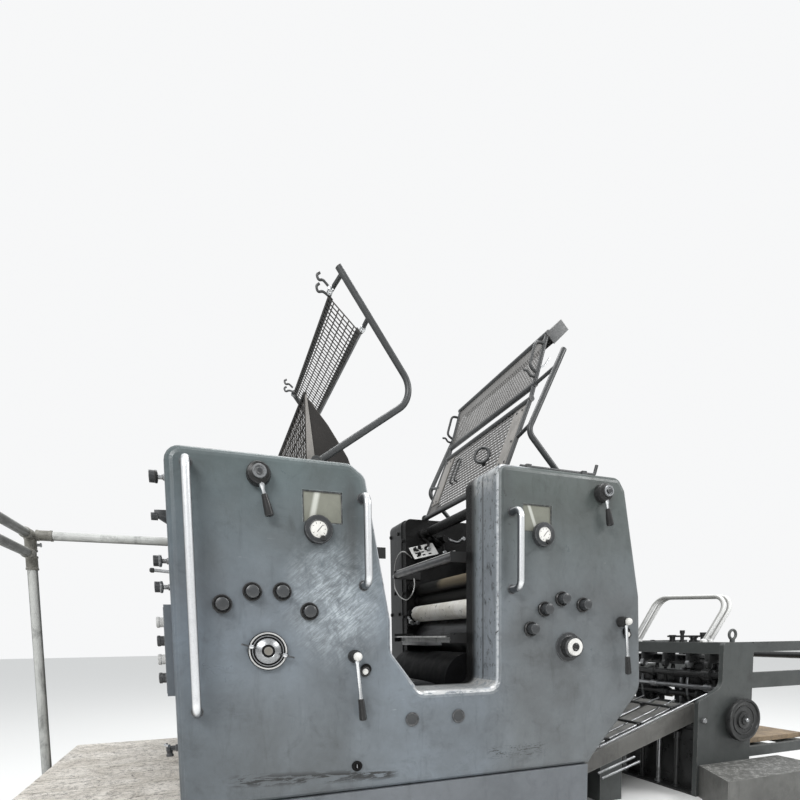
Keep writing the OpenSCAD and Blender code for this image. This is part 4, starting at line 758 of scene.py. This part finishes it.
key_boss = turned("key_boss_1", ((21, 0.5), (21.5, 6), (19, 10), (12, 10), (11, 3), (4, 3)),
                  (-0.406, face, 0.437), black_and_groove_shade, sides=28)
again(key_boss, "key_boss_2", (0.046, 0, 0.391))
again(key_boss, "key_boss_3", (1.364, 0, 0.531))
block("key_slot", (-0.408, face - 0.007, 0.4290), (-0.404, face - 0.003, 0.4450), worn_steel,
      bevel=0.0008)

# Dials and inspection windows
# A pressure dial on each tower, a white face with marks in a black bowl, and over it a window of
# dusty glass set into the cover in a rubber seal.
dial_white = finish("dial_white", (0.80, 0.79, 0.76), (0.70, 0.69, 0.65), 0.8, 0.1, 0.15, 0.2,
                    bump=0.0001)
for tower, x, z in (("left", -0.538, 1.363), ("right", 0.470, 1.403)):
    bowl = turned("dial_bowl_" + tower, (
        (50, 0.5), (54, 3), (54, 20), (51, 24.5), (34, 26.5), (32.5, 24), (31.5, 20)), (x, face, z),
        dark_cast, sides=48)
    if tower == "left":
        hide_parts("dials")
    turned("dial_face_" + tower, ((32.5, 18), (32.5, 21.5), (30, 22)), (x, face, z), dial_white, sides=48)
    strokes = []
    for turn in range(-60, 237, 37):
        way = math.radians(turn)
        strokes.append((0.024 * math.sin(way), 0.0222, 0.024 * math.cos(way), turn, 0.0018, 0.005))
    strokes.append((0.004, 0.0226, 0.003, 40, 0.0022, 0.034))
    marks = []
    for right, out, up, turn, wide, tall in strokes:
        bpy.ops.mesh.primitive_cube_add(
            size=1, location=(x + right, face - out, z + up), rotation=(0, math.radians(turn), 0),
            scale=(wide, 0.0006, tall))
        marks.append(bpy.context.object)
    choose(marks[-1])
    for mark in marks:
        mark.select_set(True)
    bpy.ops.object.join()
    settle(bpy.context.object, "dial_marks_" + tower, black)
    turned("dial_knob_" + tower, ((10, 0), (11, 3), (9, 12), (4, 13)),
           (x + 0.014, face - 0.021, z - 0.033), black, sides=16)
for tower, x, z in (("left", -0.517, 1.450), ("right", 0.444, 1.475)):
    bent_rod("window_seal_" + tower, [
        (x + right, face + 0.004, z + up) for right, up in (
            (-0.074, -0.058), (0.074, -0.058), (0.074, 0.058), (-0.074, 0.058))],
        0.0022, dark_cast, bend=0.008, closed=True)
dusty = finish("dusty_window", (0.245, 0.250, 0.210), (0.185, 0.188, 0.155), 0.3, 0.1, 0.2, 0.10,
               bump=0.0001)
# Two slanting streaks of painted reflection lighten the dusty glass.
side, _, level = parts(object_place(dusty))
painted_glare = times(band(times(times(level, -0.22), side, "ADD"), -0.882, -0.872, -0.862, -0.852),
              band(times(times(level, 0.38), side, "ADD"), 0.975, 0.980, 0.990, 0.996), "ADD")
dress(tinted(dusty, times(painted_glare, 0.7), (0.62, 0.63, 0.58)), "inspection_windows")

# Grab bars
# Round bars of bare aluminium, bent over at both ends and screwed on from inside the cover. Years of
# hands keep them bright. Thin washers close the holes where they enter.


def shade_sides(material, side_shade):
    """Painted shade: darkens the faces that look away from the operator's side and from above, and leaves
    the front and top in full colour.
    """
    way = parts(facing(material.node_tree))
    front_and_top = times(times(way["Y"], -1.0), way["Z"], "MAXIMUM")
    return tinted(material, stretch(front_and_top, 0.72, 0.30), side_shade, "MULTIPLY")


bright_bar = finish("grab_bar_aluminium", (0.80, 0.81, 0.82), (0.72, 0.73, 0.74), 0.15, 0.30, 0.6,
                    pattern="ground_metal", bump=0.0)
# The bars' sides carry painted shade; their fronts and tops keep the bright metal.
dress(shade_sides(bright_bar, (0.12, 0.13, 0.14)), "grab_bars")
washer = turned("bar_washer_1", ((17, 0.5), (21, 1), (21, 3), (15.5, 4)), (-0.990, face, 0.693),
                dark_cast, sides=24)
for i, (x, z) in enumerate(((-0.990, 1.567), (-0.362, 1.158), (-0.362, 1.493), (0.313, 1.158),
                            (0.313, 1.493)), 2):
    again(washer, f"bar_washer_{i}", (x + 0.990, 0, z - 0.693))

# Control box and hand knobs on the delivery end
# A sheet box with four push buttons on the end cover, and over it the hand knobs for the ink duct
# and the sheet guides: turned steel stems with black knobs, a flat key and one long lever.
box_paint = finish("box_paint", (0.085, 0.1, 0.115), (0.06, 0.07, 0.08), 0.35, 0.4, 0.2, 0.42, bump=0.0003)
dress(box_paint, "control_box")
dress(dark_cast, "end_hand_knobs")
for i in range(4):
    z = 0.915 + (i - 1.5) * 0.069
    turned(f"button_{i + 1}", ((21, -2), (21, 6), (18.5, 8), (18.5, 20), (20.5, 22), (20.5, 30), (18, 32)),
        (-1.086, -0.61, z), zinc_tube if i % 2 else dark_cast, sides=24, axis=(-1, 0, 0))
lid = blank((-1.0865, -0.61, 0.915), (0.003, 0.184, 0.31))
emboss(lid, lambda at, way: way.x < -0.9, 0.01, (0.0015, 0, 0))
settle(lid, "box_lid", box_paint, bevel=0.001)
for i, (z, ring, cap_r) in enumerate(((1.545, 14, 22), (1.243, 13, 21), (1.148, 13, 21))):
    turned(f"end_knob_stem_{i + 1}", ((12, 0), (12, 10), (8.5, 12), (8.5, 26)), (-1.061, -0.61, z),
        worn_steel, sides=20, axis=(-1, 0, 0))
    turned(f"end_knob_{i + 1}", ((ring, 27), (cap_r, 29), (cap_r + 1.5, 32), (cap_r + 1.5, 36), (cap_r,
        38)), (-1.061, -0.61, z), worn_steel if i else black, sides=24, axis=(-1, 0, 0))
wedge = blank((-1.086, -0.61, 1.403), (0.04, 0.014, 0.05))
squeeze(wedge, lambda at, way: way.x < -0.9, (1, 1, 0.45), (-1.106, -0.61, 1.425))
settle(wedge, "end_wedge", dark_cast, bevel=0.002)
bent_rod("end_lever", [(-1.055, -0.64, 1.2), (-1.085, -0.64, 1.203), (-1.128, -0.64, 1.206)], 0.006,
    worn_steel)
turned("end_lever_ball", ((6, 0), (9, 3), (9, 12), (5, 16)), (-1.113, -0.64, 1.205), black, sides=16,
    axis=(-1, 0, 0))
turned("drain_valve", ((14, 0), (14, 12), (10, 14), (10, 30), (16, 32), (16, 44), (12, 46)), (-1.061,
    -0.61, 0.543), dark_cast, sides=6, axis=(-1, 0, 0))
bent_rod("drain_key", [(-1.096, -0.632, 0.556), (-1.112, -0.61, 0.556), (-1.106, -0.588, 0.556)], 0.005,
    bright)
turned("drain_pipe", ((10, 0), (10, 20), (13, 22), (13, 30)), (-1.095, -0.61, 0.543), dark_cast, sides=16,
    axis=(0, 0, -1))

# Left guard and hood
# The guard over the left unit is a panel of woven wire in an angle frame, hung between two bent
# tubes that swing on the tower. Small hooks hold it down. The hood behind it is expanded metal
# between two folded cheeks, dusted brown with spray powder.
guard_paint = finish("guard_paint", (0.05, 0.053, 0.054), (0.032, 0.034, 0.035), (0.2, 0.19, 0.18), 0.8,
    0.5, 0.36)
mesh_paint = finish("mesh_wire", (0.06, 0.056, 0.052), (0.04, 0.037, 0.034), (0.16, 0.15, 0.13), 0.5, 0.6,
    0.5, bump=0.0003)
dress(guard_paint, "guard_hinges", "guard_left_frame", "guard_right_frame", "tower_rod")
dress(mesh_paint, "guard_left_mesh")
cheek_paint = finish("cheek_paint", (0.036, 0.033, 0.031), (0.022, 0.021, 0.02), (0.2, 0.18, 0.16), 0.9,
    0.6, 0.5, bump=0.0006, shine=0.2)
dress(cheek_paint, "guard_left_hood")
for i, (x, z) in enumerate(((-0.277, 2.262), (-0.414, 2.385))):
    for j, side in enumerate((-1, 1)):
        turned(f"panel_stud_{2 * i + j + 1}", ((12, 0), (12, 16), (10, 18), (10, 30), (7, 32)), (x,
            side * 0.5, z), bright if j == 0 else worn_steel, "guard_left", 12, axis=(0, side, 0))
for i, side in enumerate((-1, 1)):
    bent_rod(f"panel_hook_{i + 1}", [(-0.41, side * 0.48, 2.38), (-0.44, side * 0.488, 2.392), (-0.462,
        side * 0.492, 2.38), (-0.468, side * 0.496, 2.402), (-0.455, side * 0.498, 2.412)], 0.0055,
        guard_paint, "guard_left", 0.012)
    bent_rod(f"panel_hook_{i + 3}", [(-0.418, side * 0.496, 2.412), (-0.44, side * 0.497, 2.432), (-0.458,
        side * 0.498, 2.424), (-0.466, side * 0.499, 2.444), (-0.452, side * 0.5, 2.454)], 0.0055,
        guard_paint, "guard_left", 0.012)
strip = blank((-0.497, -0.456, 1.803), (0.044, 0.003, 0.352))
squeeze(strip, lambda at, way: way.z > 0.9, (0.15, 1, 1), (-0.519, -0.456, 1.979))
pale_sheet = finish("pale_sheet", (0.27, 0.255, 0.24), (0.19, 0.18, 0.165), (0.42, 0.4, 0.37), 0.5, 0.6,
    0.45, bump=0.0003)
settle(strip, "hood_flange", pale_sheet)


def holes(material, across, along, pitch, hole, keep=None):
    """Cuts a grid of holes through a sheet's material. Each axis is a direction and a step."""
    tree = material.node_tree
    spot = add(tree, "TexCoord").outputs["Object"]
    steps = []
    for axis in (across, along):
        run = add(tree, "VectorMath", {0: spot, 1: axis}, operation="DOT_PRODUCT").outputs["Value"]
        cell = times(times(run, 1.0 / pitch), 1.0, "FLOORED_MODULO")
        steps.append(times(times(cell, 0.5, "SUBTRACT"), 2.0, "POWER"))
    apart = times(times(steps[0], steps[1], "ADD"), 0.5, "POWER")
    metal = times(apart, hole / pitch, "GREATER_THAN")
    if keep:
        run = add(tree, "VectorMath", {0: spot, 1: keep[0]}, operation="DOT_PRODUCT").outputs["Value"]
        solid = times(absolute(run) if keep[3] else run, keep[1], "GREATER_THAN")
        metal = times(metal, solid, "MAXIMUM")
    tree.links.new(metal, tree.nodes["Principled BSDF"].inputs["Alpha"])
    return material


net_paint = holes(finish("hood_net", (0.06, 0.053, 0.046), (0.04, 0.036, 0.032), (0.25, 0.22, 0.19), 0.5,
    0.5, 0.6, bump=0.0005), (0, 0.71, 0.71), (0, -0.71, 0.71), 0.016, 0.0042)
bpy.ops.mesh.primitive_plane_add(size=1, location=(-0.5165, 0, 1.802), rotation=(0, math.pi / 2, 0))
net = bpy.context.object
net.scale = (0.345, 0.88, 1)
pick(net, lambda at, way: True)
bpy.ops.mesh.subdivide(number_cuts=10)
bpy.ops.object.mode_set(mode="OBJECT")
settle(net, "hood_net", net_paint)

# Right guard
# A welded rod frame with a louvred sheet below and a perforated sheet above, both pressed from thin
# steel and screwed to plain end plates. It has a ring and a wire handle on the sheet, and a loop
# and a hook at each upper corner.
low, mid, top = (Vector((0.42, 0, 1.723)), Vector((0.575, 0, 2.108)), Vector((0.668, 0, 2.43)))
rise, out = ((mid - low).normalized(), Vector((-0.9276, 0, 0.3735)))
louvres = finish("louvred_sheet", (0.12, 0.116, 0.11), (0.085, 0.08, 0.075), (0.38, 0.36, 0.33), 0.5, 0.45,
    0.45, bump=0.0003)
tree = louvres.node_tree
spot = add(tree, "TexCoord").outputs["Object"]
run = add(tree, "VectorMath", {0: spot, 1: tuple(rise)}, operation="DOT_PRODUCT").outputs["Value"]
row = times(times(run, 1 / 0.021), 1.0, "FLOORED_MODULO")
slot = times(stretch(row, 0.24, 0.26), stretch(row, 0.78, 0.76))
middle = absolute(add(tree, "SeparateXYZ", {"Vector": spot}).outputs["Y"])
slot = times(slot, stretch(middle, 0.365, 0.36))
shift = times(times(times(run, 1 / 0.021), 0.0, "FLOOR"), 0.5)
gap = times(times(times(add(tree, "SeparateXYZ", {"Vector": spot}).outputs["Y"], 1 / 0.036), shift, "ADD"),
    1.0, "FLOORED_MODULO")
slot = times(slot, times(gap, 0.16, "GREATER_THAN"))
tree.links.new(times(slot, 0.5, "LESS_THAN"), tree.nodes["Principled BSDF"].inputs["Alpha"])
dress(louvres, "guard_right_sheet")
dress(holes(finish("perforated_sheet", (0.165, 0.16, 0.153), (0.115, 0.11, 0.104), (0.38, 0.36, 0.33), 0.5,
    0.45, 0.45, bump=0.0003), (0, 0.71, 0.71), (0, -0.71, 0.71), 0.0135, 0.0044, ((0.277, 0, 0.961), 2.455,
    0, False)), "guard_right_mesh")


def on_sheet(up, y, off):
    """A point on the lower sheet: distance up from the pivot, place across, and stand-off."""
    return low + rise * up + out * off + Vector((0, y, 0))


for i, side in enumerate((-1, 1)):
    corners = [on_sheet(a, side * b, 0.004) for a, b in ((0.07, 0.365), (0.385, 0.365), (0.385, 0.47),
        (0.07, 0.47))]
    size = (corners[1] - corners[0]).length
    plate = blank((0, 0, 0), (0.105, size, 0.003))
    emboss(plate, lambda at, way: way.z > 0.9, 0.006, (0, 0, 0.001))
    turn = Matrix((Vector((0, 1, 0)), rise, out)).transposed().to_4x4()
    plate.matrix_world = Matrix.Translation(sum(corners, Vector()) / 4) @ turn
    settle(plate, f"end_plate_{i + 1}", pale_sheet, "guard_right")
    for j, (up, y) in enumerate(((0.09, 0.4), (0.09, 0.45), (0.2, 0.45), (0.37, 0.4), (0.37, 0.45))):
        turned(f"sheet_screw_{5 * i + j + 1}", ((6.5, 0), (6.5, 3), (4, 4.5)), on_sheet(up, side * y,
            0.006), dark_cast, "guard_right", 10, axis=out)
bpy.ops.mesh.primitive_torus_add(major_segments=40, minor_segments=12, major_radius=0.041,
    minor_radius=0.0085)
ring = bpy.context.object
squeeze(ring, lambda at, way: at.z < 0, (1, 1, 0.6), (0, 0, 0))
ring.matrix_world = Matrix.Translation((0.462, -0.193, 1.918)) @ Vector((-0.75, -0.62,
    0.2)).to_track_quat("Z", "Y").to_matrix().to_4x4()
settle(ring, "ring_handle", guard_paint, "guard_right", 0.0, 60)
turned("ring_foot", ((14, 0), (14, 8), (9, 12), (9, 38)), on_sheet(0.165, -0.185, 0.0), dark_cast,
    "guard_right", 16, axis=out)
bent_rod("wire_handle", [on_sheet(0.165, 0.165, -0.002), on_sheet(0.165, 0.165, 0.022), on_sheet(0.31,
    0.165, 0.022), on_sheet(0.31, 0.225, 0.022), on_sheet(0.165, 0.225, 0.022), on_sheet(0.165, 0.225,
    -0.002)], 0.006, guard_paint, "guard_right", 0.02)
upward = (top - mid).normalized()
outward = Vector((-upward.z, 0, upward.x))
for i, side in enumerate((-1, 1)):
    foot = mid + upward * 0.135 + Vector((0, side * 0.486, 0))
    bent_rod(f"corner_loop_{i + 1}", [foot, foot + outward * 0.05 + upward * 0.012,
        foot + outward * 0.05 + upward * 0.14, foot + upward * 0.15], 0.0075, guard_paint, "guard_right",
        0.022)
    bent_rod(f"corner_hook_{i + 1}", [foot - upward * 0.02, foot - upward * 0.03 + outward * 0.035,
        foot - upward * 0.012 + outward * 0.055, foot - upward * 0.02 + outward * 0.075], 0.006,
        guard_paint, "guard_right", 0.014)
    bent_rod(f"corner_link_{i + 1}", [foot + upward * 0.02, foot - outward * 0.03 + upward * 0.055,
        foot - outward * 0.045 + upward * 0.1], 0.0035, bright, "guard_right", 0.01)

# Delivery and its rail
# The low delivery section, boarded over with worn painted planks with a hand hole, and the pipe
# rail round it, held at its corners by cast tee clamps with grub screws.
came, goes = new_group("worn_planks", {"Wood": tone(0.4), "Grey": tone(0.3), "Dirt": 0.5},
    "Color Roughness Height")
spot = came["Place"]
grain = cloud(spot, 0.01, 6, 0.65, 1.0, (0.1, 1, 1))
patches = stretch(cloud(spot, 0.16, 7, 0.7, 0.5), 0.38, 0.62)
colour = mixed(patches, came["Wood"], came["Grey"])
colour = mixed(times(stretch(grain, 0.35, 0.62), 0.35), colour, (0.42, 0.38, 0.32), "MULTIPLY")
specks = times(stretch(cloud(spot, 0.018, 9, 0.9, 0.4), 0.51, 0.58), came["Dirt"])
colour = mixed(times(specks, 0.8), colour, (0.06, 0.055, 0.05))
marks = times(stretch(cloud(spot, 0.05, 8, 0.8, 1.0), 0.57, 0.65), came["Dirt"])
colour = mixed(marks, colour, (0.05, 0.045, 0.04))
give(goes, Color=colour)
give(goes, Roughness=stretch(patches, 0, 1, 0.62, 0.82))
give(goes, Height=times(grain, times(specks, -0.4), "ADD"))
deck_wood = finish("deck_planks", (0.86, 0.82, 0.76), (0.64, 0.6, 0.54), 0.9, pattern="worn_planks",
    bump=0.0015)
dress(deck_wood, "delivery_deck")
dress(finish("pile_planks", (0.4, 0.3, 0.19), (0.28, 0.22, 0.16), 0.5, pattern="worn_planks", bump=0.001),
    "pile_board")
dress(bed_paint, "delivery_frame")
bent_rod("hand_hole_rim", [(-1.5, -0.6, 0.3525), (-1.38, -0.6, 0.3525), (-1.38, -0.565, 0.3525), (-1.5,
    -0.565, 0.3525)], 0.003, worn_steel, bend=0.017, closed=True)
zinc = finish("galvanised_pipe", (0.56, 0.57, 0.55), (0.34, 0.345, 0.33), (0.5, 0.5, 0.48), 1.0, 0.9, 0.38,
    bump=0.0005)
# The rail's sides carry painted shade.
dress(shade_sides(zinc, (0.22, 0.22, 0.21)), "guard_rail")
clamp_iron = finish("clamp_iron", (0.21, 0.205, 0.18), (0.1, 0.095, 0.08), (0.45, 0.43, 0.4), 0.9, 0.9,
    0.5, bump=0.0008)
clamp = ((21.5, -34), (26.5, -32), (26.5, -24), (24.5, -22), (24.5, 22), (26.5, 24), (26.5, 32), (21.5, 34))
number = 0
for y in (-0.75, 0.254):
    for z, along in ((1.45, (0, 1, 0)), (1.36, (0, 1, 0)), (1.32, (0, 0, 1)), (1.405, (0, 0, 1))):
        number += 1
        turned(f"rail_clamp_{number}", clamp, (-1.698, y + (0 if along[2] else 0.05 if y < 0 else -0.05),
            z), clamp_iron, sides=20, axis=along)
turned("rail_clamp_9", clamp, (-1.64, 0.254, 1.45), clamp_iron, sides=20, axis=(1, 0, 0))
for i, y in enumerate((-0.75, 0.254)):
    turned(f"rail_screw_{i + 1}", ((7, 0), (7, 12), (10, 13), (10, 19)), (-1.674, y, 1.405), worn_steel,
        sides=6, axis=(1, 0, 0))

# Feeder
# The sheet feeder: two cast side plates, the sloping board with its guide bars, the suction head
# under its air pipes, the shafts and blower of the pile drive, the pile board and the handwheel.
# Greenish black paint under years of oil and paper dust.
feeder_paint = finish("feeder_paint", (0.062, 0.068, 0.066), (0.044, 0.048, 0.047), (0.24, 0.24, 0.23),
    0.9, 0.6, 0.42, bump=0.0005)
oily_black = finish("oily_black", (0.03, 0.031, 0.031), 0.01, 0.7, 0.32, pattern="inky_iron", bump=0.001)
board_paint = finish("board_paint", (0.2, 0.198, 0.186), (0.135, 0.131, 0.122), (0.42, 0.42, 0.4), 0.9,
    0.5, 0.42, bump=0.0005)
dress(feeder_paint, "feeder_plates", "lifting_eyes", "board_feet")
dress(oily_black, "suction_head", "feeder_bars")
dress(board_paint, "feed_board")
dress(worn_steel, "feed_board_rails")
air_pipe = finish("air_pipe", (0.8, 0.8, 0.79), (0.66, 0.66, 0.64), 0.85, 0.2, 0.1, 0.3, bump=0.0003)
# The air pipes' sides carry painted shade.
dress(shade_sides(air_pipe, (0.42, 0.42, 0.41)), "guard_hoops")
step_paint = finish("step_paint", (0.12, 0.12, 0.112), (0.085, 0.085, 0.08), (0.3, 0.3, 0.28), 0.9, 0.6,
    0.45, bump=0.0006)
tree = step_paint.node_tree
spot = add(tree, "TexCoord").outputs["Object"]
up = add(tree, "SeparateXYZ", {"Vector": add(tree, "NewGeometry").outputs["Normal"]}).outputs["Z"]
speck = times(stretch(up, 0.8, 0.95), stretch(cloud(spot, 0.03, 9, 0.9), 0.5, 0.6))
tree.links.new(mixed(speck, tree.nodes["pattern"].outputs["Color"], (0.42, 0.42, 0.4)),
    tree.nodes["Principled BSDF"].inputs["Base Color"])
dress(step_paint, "foot_step")
wheel_back = -0.567
feeder_wheel = turned("feeder_wheel_disc", ((30, 0), (34, 4), (34, 22), (118, 24), (126, 26), (127.5, 32),
    (127.5, 50), (124, 55), (112, 56), (108, 48), (88, 44), (86, 48), (80, 48), (78, 44), (52, 42), (50,
    50), (30, 52), (28, 60), (20, 62)), (1.985, wheel_back, 0.44), oily_black, "feeder_wheel", 64)
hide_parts("feeder_handwheel")
turned("feeder_wheel_nut", ((13, 0), (13, 8), (10, 10)), (1.985, wheel_back - 0.061, 0.44), worn_steel,
    "feeder_wheel", 6)
for i, (x, y, z, r, l, skin) in enumerate(((1.905, 0.533, 0.7, 20, 1066, oily_black), (1.925, 0.533, 0.615,
        16, 1066, worn_steel), (2.02, 0.533, 0.79, 14, 1066, oily_black), (2.06, 0.533, 0.54, 18, 1066,
        oily_black))):
    turned(f"pile_shaft_{i + 1}", ((r, 0), (r, l * 0.08), (r * 1.6, l * 0.085), (r * 1.6, l * 0.12), (r,
        l * 0.125), (r, l * 0.45), (r * 1.5, l * 0.455), (r * 1.5, l * 0.5), (r, l * 0.505), (r, l * 0.86),
        (r * 1.7, l * 0.865), (r * 1.7, l * 0.92), (r, l * 0.925), (r, l)), (x, y, z), skin, sides=24)
turned("blower", ((30, 0), (50, 6), (55, 12), (55, 200), (58, 204), (58, 214), (52, 222), (30, 226)),
    (2.02, -0.18, 0.735), oily_black, sides=36)
turned("blower_cap", ((34, 0), (34, 6), (26, 10), (12, 10)), (2.02, -0.405, 0.735), worn_steel, sides=24)
block("blower_foot", (1.985, -0.37, 0.69), (2.055, -0.21, 0.7), oily_black)
block("blower_shelf", (1.93, -0.5, 0.672), (2.075, -0.1, 0.69), oily_black, bevel=0.003)
bent_rod("shelf_arm_1", [(1.94, -0.534, 0.68), (1.94, -0.1, 0.68)], 0.012, oily_black)
bent_rod("shelf_arm_2", [(2.065, -0.534, 0.68), (2.065, -0.1, 0.68)], 0.012, oily_black)
for i, (y, x) in enumerate(((-0.45, 1.9), (-0.3, 1.91), (-0.12, 1.9), (0.08, 1.91), (0.28, 1.9))):
    block(f"beam_bracket_{i + 1}", (x - 0.045, y - 0.018, 0.77), (x + 0.04, y + 0.018, 0.832), oily_black,
        bevel=0.006)
    turned(f"beam_roll_{i + 1}", ((20, 0), (26, 3), (26, 26), (20, 29)), (x - 0.03, y + 0.0145, 0.762),
        worn_steel if i % 2 else oily_black, sides=20)
for i, (y, up, wide) in enumerate(((-0.34, 60, 14), (-0.27, 35, 20), (-0.18, 75, 12), (-0.1, 45, 18))):
    turned(f"beam_post_{i + 1}", ((wide * 1.4, 0), (wide * 1.4, 10), (wide, 12), (wide, up * 0.7),
        (wide * 1.3, up * 0.72), (wide * 1.3, up)), (1.945, y, 0.9), oily_black, sides=16, axis=(0, 0, 1))
block("beam_rail", (1.938, -0.4, 0.93), (1.952, -0.06, 0.942), oily_black, bevel=0.003)
low_end, high_end = (Vector((0.985, 0, 0.272)), Vector((1.8, 0, 0.532)))
slope = (high_end - low_end).normalized()
rise_up = Vector((-slope.z, 0, slope.x))
guide = bent_rod("guide_rod_1", [low_end + slope * 0.06 + rise_up * 0.03 + Vector((0, -0.44, 0)),
    low_end + slope * 0.8 + rise_up * 0.03 + Vector((0, -0.44, 0))], 0.0055, worn_steel)
for i, y in enumerate((-0.33, -0.2, -0.07, 0.07, 0.2, 0.33), 2):
    again(guide, f"guide_rod_{i}", (0, y + 0.44, 0))
for i, up in enumerate((0.16, 0.4, 0.66)):
    bent_rod(f"guide_bar_{i + 1}", [low_end + slope * up + rise_up * 0.048 + Vector((0, -0.47, 0)),
        low_end + slope * up + rise_up * 0.048 + Vector((0, 0.47, 0))], 0.009, oily_black)
    for j, y in enumerate((-0.44, -0.2, 0.07, 0.33)):
        turned(f"guide_clamp_{4 * i + j + 1}", ((12, -12), (15, -10), (15, 10), (12, 12)),
            low_end + slope * up + rise_up * 0.042 + Vector((0, y, 0)), oily_black, sides=12, axis=rise_up)
bent_rod("edge_rod_1", [low_end + slope * 0.03 + rise_up * 0.075 + Vector((0, -0.535, 0)),
    low_end + slope * 0.84 + rise_up * 0.075 + Vector((0, -0.535, 0))], 0.006, worn_steel)
turned("board_bolt", ((12, 0), (12, 10), (17, 12), (17, 22), (12, 26)), (1.7, -0.565, 0.45), worn_steel,
    sides=6)
for i, (x0, z0, x1, z1) in enumerate(((0.995, 0.202, 1.246, 0.27), (1.022, 0.172, 1.283, 0.24))):
    bent_rod(f"low_rod_{i + 1}", [(x0, -0.52, z0), (x1, -0.52, z1)], 0.007, worn_steel)

front_plate = blank((1.992, 0, 0.505), (0.006, 1.068, 0.35))
punch(front_plate, 11,
    lambda at, way: abs(way.x) > 0.9 and round((at.y + 0.51) / 0.085 - 0.5) % 4 == 1 and (0.36 < at.z < 0.6))
settle(front_plate, "pile_front_plate", oily_black)
for i, y in enumerate((-0.42, -0.16, 0.1, 0.36)):
    block(f"pile_guide_{i + 1}", (1.97, y - 0.014, 0.33), (1.99, y + 0.014, 0.73),
        worn_steel if i == 1 else oily_black, bevel=0.003)
for i, (x, z, r) in enumerate(((1.965, 0.56, 20), (1.97, 0.48, 16), (1.955, 0.395, 22))):
    turned(f"hoist_shaft_{i + 1}", ((r, 0), (r, 180), (r * 2.2, 184), (r * 2.2, 200), (r, 204), (r, 520),
        (r * 1.5, 524), (r * 1.5, 600), (r, 604), (r, 840), (r * 2.2, 844), (r * 2.2, 860), (r, 864), (r,
        1066)), (x, 0.533, z), oily_black, sides=24)
for i, (x, y, z, end_x, end_z) in enumerate(((1.955, -0.4, 0.7, 1.968, 0.56), (1.95, -0.24, 0.72, 1.972,
        0.48), (1.955, -0.05, 0.8, 1.968, 0.565), (1.96, 0.16, 0.7, 1.972, 0.48), (1.955, 0.34, 0.79, 1.96,
        0.4))):
    bent_rod(f"feeder_rod_{i + 1}", [(x, y, z), (x - 0.02, y, (z + end_z) / 2), (end_x, y, end_z)], 0.01,
        worn_steel if i % 2 else oily_black, bend=0.05)
    turned(f"feeder_cam_{i + 1}", ((26, -8), (34, -6), (34, 12), (24, 14)), (end_x, y + 0.02, end_z),
        oily_black, sides=20)
block("hoist_back", (1.742, -0.47, 0.012), (1.75, 0.47, 0.372), oily_black)
for i, y in enumerate((-0.38, -0.24, -0.1, 0.06, 0.22)):
    turned(f"hoist_column_{i + 1}", ((24, 0), (24, 12), (14, 14), (14, 300), (20, 302), (20, 345)), (1.712,
        y, 0.012), worn_steel if i % 2 else oily_black, sides=20, axis=(0, 0, 1))
block("hoist_base", (1.672, -0.53, 0.0), (1.752, 0.53, 0.014), oily_black)
